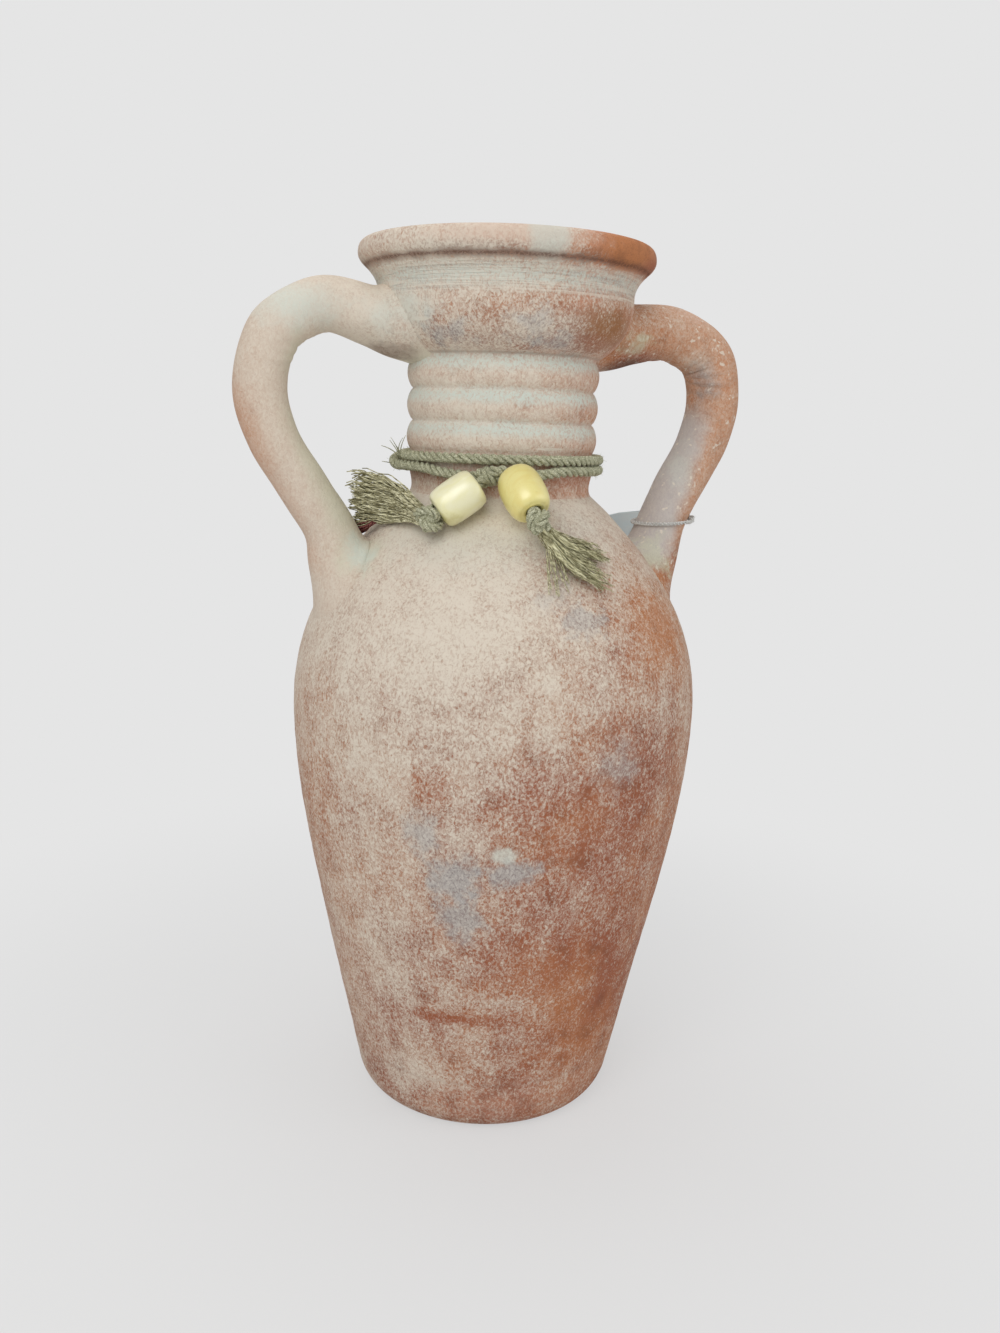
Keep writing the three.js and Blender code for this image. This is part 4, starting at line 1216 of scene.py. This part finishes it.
def tasselShape(tassel, start):
    rng = random.Random(tassel["seed"])
    line = spaced(smoothLine([start, *tassel["line"]]), 24)
    tangents = headings(line)
    shape = Shape()
    locks = []
    for k in range(tassel["locks"]):
        at = -1 + 2 * (k + 0.5) / tassel["locks"] + rng.uniform(-0.1, 0.1)
        spans = ((-1, 1), (0, 6.28), (-1, 1), (tassel["shortest"], 1.0))
        locks.append((at, *(rng.uniform(*span) for span in spans)))
    length = lineLength(line)
    for i in range(tassel["count"]):
        lockWide, lockDeep, phase, twist, lockEnd = locks[i % len(locks)]
        own, ownDeep = rng.gauss(0, tassel["bundle"]), rng.gauss(0, 0.25)
        last = rng.uniform(0.92, 1.04) * lockEnd
        wiggle = rng.uniform(0, 6.28)
        points = []
        for s in np.linspace(0.0, last, strandForm["steps"]):
            at = min(s, 1.0) * (len(line) - 1)
            low = min(int(at), len(line) - 2)
            centre = line[low] + (line[low + 1] - line[low]) * (at - low)
            centre = centre + tangents[-1] * length * max(s - 1, 0)
            along = tangents[low]
            radial, rise = potSlope(centre[2]) if tassel["liesOnPot"] else (1.0, 0.0)
            out = vec(*(centre[:2] / np.hypot(centre[0], centre[1]) * radial), rise)
            out = unit(out - np.dot(out, along) * along)
            opened = float(ease(s, 0.0, 0.9))
            wide = (tassel["neck"] + (tassel["width"] - tassel["neck"]) * opened) / 2
            deep = (tassel["neck"] + (tassel["thickness"] - tassel["neck"]) * opened) / 2
            swing = math.sin(phase + s * 9 * twist + s * 2) * strandForm["swing"] * opened
            coil = phase + s * strandForm["coilTurn"] + i  # a lock's strands still turn round each other
            curled = strandForm["coilReach"] * opened
            wave = math.sin(wiggle + s * strandForm["wiggleTurn"])
            loose = tassel["curl"] * opened * wave * strandForm["wiggleReach"]
            aside = wide * (0.9 * lockWide + own + swing) + loose + curled * math.sin(coil)
            lifted = deep * (0.8 * lockDeep + ownDeep) + loose * 0.5 + curled * math.cos(coil)
            points.append(centre + np.cross(along, out) * aside + out * lifted)
        radii = tassel["strand"] * np.linspace(1.0, 0.6, len(points)) * rng.uniform(0.7, 1.3)
        shape.tube(liftOff(points, 0.4), radii, 5)
    return shape


def tailLine(route):
    line = spaced(smoothLine(route, 12), tailForm["points"])
    for _ in range(tailForm["smoothing"]):  # take the tightness out of the bends
        line[1:-1] = line[1:-1] / 2 + (line[:-2] + line[2:]) / 4
    share = min(tailForm["longest"] / lineLength(line), 1.0)
    return spaced(line[:max(int(len(line) * share), 8)], tailForm["kept"])


for side, tassel in tassels.items():
    tail = tails[side]
    tasselPiece = tasselShape(tassel, tail["root"]).piece(
        "tassel_" + side + "_strands", tassel["material"], slot="jute")
    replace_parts(tasselPiece, "tassel_" + side)
    path = tailLine([*tail["route"], tassel["line"][0]])
    rope = Shape()
    layRope(rope, path, tie["diameter"], tie["lay"], seed=50)
    tailPiece = rope.piece("tail_" + side + "_rope", fibres["jute"], slot="jute")
    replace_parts(tailPiece, "tail_" + side)
    print("tail", side, round(lineLength(path), 1), "mm")

# a hanging part of the right tassel, and what sticks out under and over the left one:
# from, to, how far the ends lie apart, count, thickness, material
looseStrands = {
    "hangingStrands": ((26, 19, 5), (26, 36, 3), (4, 4, 2), 14, 0.19, "rightFray"),
    "redStrands": ((-58, 17, 4), (-71, 22.5, 6), (3, 1.5, 4), 30, 0.3, "red"),
    "upperStrands": ((-50, 9, 10), (-66, 9, 17), (6, 3, 3), 7, 0.22, "jute"),
}
for name, (first, last, apart, count, thick, fibre) in looseStrands.items():
    rng = random.Random(9)
    strands = Shape()
    for _ in range(count):
        start = onShoulder(*(np.array(first) + randomVec(rng, 1.5, 1, 1)))
        end = onShoulder(*(np.array(last) + randomVec(rng, *apart)))
        middle = (start + end) / 2 + randomVec(rng, 1.6, 1.6, 1.2)
        strands.tube(liftOff(smoothLine([start, middle, end], 5), rng.uniform(0.3, 2.2)), thick, 5)
    strands.piece(name, fibres[fibre], slot="jute")
print("tassels frayed")


# swing tag

tag = {
    "length": 32.0, "height": 18.0, "thickness": 0.8, "corner": 3.0, "hole": 4.0, "inset": 4.0, "sides": 96,
    "azimuth": 169.0, "droop": 6.6, "holeCentre": vec(89.751, 17.5, 267.848), "bow": 0.5,
    "cuts": (0, 0.12, 0.35, 0.6, 0.85, 0.985),  # shares of the way from the hole to the edge
    "colour": (226, 244, 250), "edge": (236, 246, 248), "fleck": (120, 134, 142),
    "string": 1.2, "stringLaid": 1.56, "stringLay": 3.6, "stringGap": 0.3, "loopHeight": -14.5,
}


def cardMaterial():
    material, n, shader = newMaterial("blankCard")
    place = n.millimetres()
    pulp = n.noise(place, 0.5, detail=4.0, roughness=0.7)
    cloud = n.noise(place, 7.0, detail=2.0)
    colour = n.mix(n.span(cloud, 0.35, 0.7, 0.0, 0.5), srgb(*tag["colour"]), srgb(*tag["edge"]))
    colour = n.mix(n.span(pulp, 0.4, 0.2, 0.0, 0.25), colour, srgb(*tag["fleck"]))
    n.set(shader.inputs["Base Color"], colour)
    n.set(shader.inputs["Normal"], n.bump(pulp, 0.2, 0.0001))
    shader.inputs["Roughness"].default_value = 0.75
    return material


def cardEdge(ways):  # where rays from the hole meet the rounded card
    low = np.array([-tag["inset"], tag["inset"] - tag["height"]])
    high = np.array([tag["length"] - tag["inset"], tag["inset"]])
    reach = np.where(ways > 0, high, -low) / np.maximum(np.abs(ways), 1e-9)
    points = ways * reach.min(axis=1)[:, None]
    nearest = np.clip(points, low + tag["corner"], high - tag["corner"])
    off = points - nearest
    return nearest + off * np.minimum(tag["corner"] / np.linalg.norm(off, axis=1), 1)[:, None]


azimuth, tilt = math.radians(tag["azimuth"]), math.radians(tag["droop"])
far = vec(math.cos(azimuth), math.sin(azimuth), 0)
tagAcross = vec(far[1], -far[0], 0)
tagAxes = (far * math.cos(tilt) - up * math.sin(tilt), far * math.sin(tilt) + up * math.cos(tilt))


def tagShape():
    half = tag["thickness"] / 2
    angles = around(tag["sides"])
    ways = np.stack([np.cos(angles), np.sin(angles)], axis=1)
    outer = cardEdge(ways)
    hole = ways * tag["hole"] / 2
    cuts = [hole + (outer - hole) * share for share in tag["cuts"]]
    loops = [*((flat, half) for flat in cuts), (outer, half * 0.6)]
    loops += [(flat, -depth) for flat, depth in reversed(loops)]
    rings = []
    for flat, depth in loops:
        bow = tag["bow"] * (flat[:, 0] / tag["length"]) ** 2
        rings.append(tag["holeCentre"] + flat @ np.array(tagAxes) + (depth + bow)[:, None] * tagAcross)
    shape = Shape()
    shape.rings(rings + rings[:1], capped=False)
    return shape.weld(tag["sides"])


card = tagShape().piece("blankTag", cardMaterial(), body="tag", slot="card", smooth=False)
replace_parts(card, "swing_tag")


def stringLine():
    line = smoothLine(handleLine(handles["handle_right"]), 24)
    height = pot["bodyHeight"] + tag["loopHeight"]
    centre = [p for p in spaced(line, 121) if p[2] > height][-1]
    reach = handles["handle_right"]["ankleRadius"] + tag["stringGap"] + tag["string"] / 2

    def at(degrees, away, rise):
        angle = math.radians(degrees)
        return vec(centre[0], 0, centre[2] + rise) + (reach + away) * vec(math.cos(angle), math.sin(angle), 0)

    def fromHole(behind, rise):
        return tag["holeCentre"] + tagAcross * behind + up * rise

    return smoothLine([
        at(-26, 1.8, 0.2), at(-34, 1.5, 0), at(-60, 1.4, 0), at(-100, 0.8, -0.6), at(-140, 1.4, -1),
        at(180, 2, -1), at(142, 1.6, -0.8), at(108, 1.6, -0.4),
        fromHole(-2.6, -0.3), fromHole(0, 0), fromHole(2.2, 0.8), fromHole(1.8, tag["inset"] + 1.4),
        fromHole(-0.6, tag["inset"] + 2.4), at(42, 4.6, 4), at(15, 2.4, 2.6), at(-8, 1.4, 1.8),
        at(-16, 1.7, 1.7),
    ], 12)


string = Shape()
loop = stringLine()
layRope(string, loop, tag["stringLaid"], tag["stringLay"], strands=2, seed=3)
addFuzz(string, loop, tag["string"] / 2, 40, 1.2, 17)
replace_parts(string.piece("tagString", fibres["string"], slot="string"), "tag_string")
ends = (loop[0] + loop[-1]) / 2
stringKnot = knotShape(ends, unit(vec(ends[0] - 80, ends[1], 0)), 1.6, 1.9, 1.1, 61)
stringKnot.piece("stringKnot", fibres["string"], slot="string")
print("tag hung")


# studio

studio = {
    "grey": (229, 229, 229), "world": 0.42, "floorShade": 0.35, "floorReach": 6.0, "floorDrop": 0.0004,
    "tilt": 12.0, "azimuth": 20.0, "distance": 516.2, "height": 310.2, "roll": 1.9, "focal": 1145.0,
    "aside": 5.9, "picture": 1333, "sensor": 36,
}
lamps = {  # place and the place it points at, in metres, width and power
    "keyLight": ((-0.75, -0.95, 1.05), (0, 0, 0.22), 1.1, 9.0),
    "fillLight": ((0.95, -0.75, 0.5), (0, 0, 0.2), 0.9, 2.6),
    "topLight": ((0.0, 0.25, 1.3), (0, 0, 0.2), 0.8, 3.0),
}
for name, (place, target, size, power) in lamps.items():
    light = bpy.data.lights.new(name, "AREA")
    light.shape = "DISK"
    light.size = size
    light.energy = power
    lamp = bpy.data.objects.new(name, light)
    lamp.location = place
    lamp.rotation_euler = (Vector(target) - Vector(place)).to_track_quat("-Z", "Y").to_euler()
    bpy.context.scene.collection.objects.link(lamp)

# the camera and reflections see the studio's grey, and the light that falls on the part is weaker
world = bpy.data.worlds.new("studioWorld")
world.use_nodes = True
bpy.context.scene.world = world
n = Nodes(world.node_tree)
background = world.node_tree.nodes["Background"]
rays = n.add("ShaderNodeLightPath").outputs
mirrored = n.math("MAXIMUM", rays["Is Glossy Ray"], rays["Is Transmission Ray"])
straightOn = n.math("MAXIMUM", rays["Is Camera Ray"], mirrored)
n.set(background.inputs["Color"], n.mix(straightOn, (1, 1, 1, 1), srgb(*studio["grey"])))
n.set(background.inputs["Strength"], n.plus(n.times(straightOn, 1 - studio["world"]), studio["world"]))

# a floor that fades into the grey away from the part
floorMaterial, n, diffuse = newMaterial("paleFloor")
diffuse.inputs["Base Color"].default_value = (0.8, 0.8, 0.8, 1)
diffuse.inputs["Roughness"].default_value = 0.9
diffuse.inputs["Specular IOR Level"].default_value = 0.0
glow = n.add("ShaderNodeEmission", Color=srgb(*studio["grey"]), Strength=1.0)
rays = n.add("ShaderNodeLightPath").outputs
away = n.vectorMath("LENGTH", n.add("ShaderNodeTexCoord").outputs["Object"])
share = n.span(away, 0.1, 0.45, 1 - studio["floorShade"], 1.0)
blend = n.add("ShaderNodeMixShader")
n.set(blend.inputs[0], n.times(share, rays["Is Camera Ray"]))
n.set(blend.inputs[1], diffuse.outputs[0])
n.set(blend.inputs[2], glow.outputs[0])
n.set(floorMaterial.node_tree.nodes["Material Output"].inputs["Surface"], blend.outputs[0])
half, drop = studio["floorReach"], studio["floorDrop"]
corners = [(-half, -half, -drop), (half, -half, -drop), (half, half, -drop), (-half, half, -drop)]
floorMesh = bpy.data.meshes.new("floor")
floorMesh.from_pydata(corners, [], [(0, 1, 2, 3)])
floorMesh.materials.append(floorMaterial)
floor = bpy.data.objects.new("floor", floorMesh)
bpy.context.scene.collection.objects.link(floor)

turned, tilt, roll = (math.radians(studio[key]) for key in ("azimuth", "tilt", "roll"))
aim = turned + math.atan2(studio["aside"], studio["focal"])
forward = Vector((math.sin(aim) * math.cos(tilt), math.cos(aim) * math.cos(tilt), -math.sin(tilt)))
right = Vector((math.cos(aim), -math.sin(aim), 0))
above = right.cross(forward)
pictureRight = math.cos(roll) * right + math.sin(roll) * above
pictureUp = -math.sin(roll) * right + math.cos(roll) * above
camera = bpy.data.objects.new("camera", bpy.data.cameras.new("camera"))
camera.data.sensor_width = studio["sensor"]
camera.data.lens = studio["focal"] / studio["picture"] * studio["sensor"]
camera.data.clip_start = 0.01
turn = Matrix((pictureRight, pictureUp, -forward)).transposed().to_4x4()
away = studio["distance"]
place = Vector((-math.sin(turned) * away, -math.cos(turned) * away, studio["height"])) * toMetres
camera.matrix_world = Matrix.Translation(place) @ turn
bpy.context.scene.collection.objects.link(camera)
bpy.context.scene.camera = camera
bpy.context.scene.view_settings.view_transform = "Standard"
print("studio set")
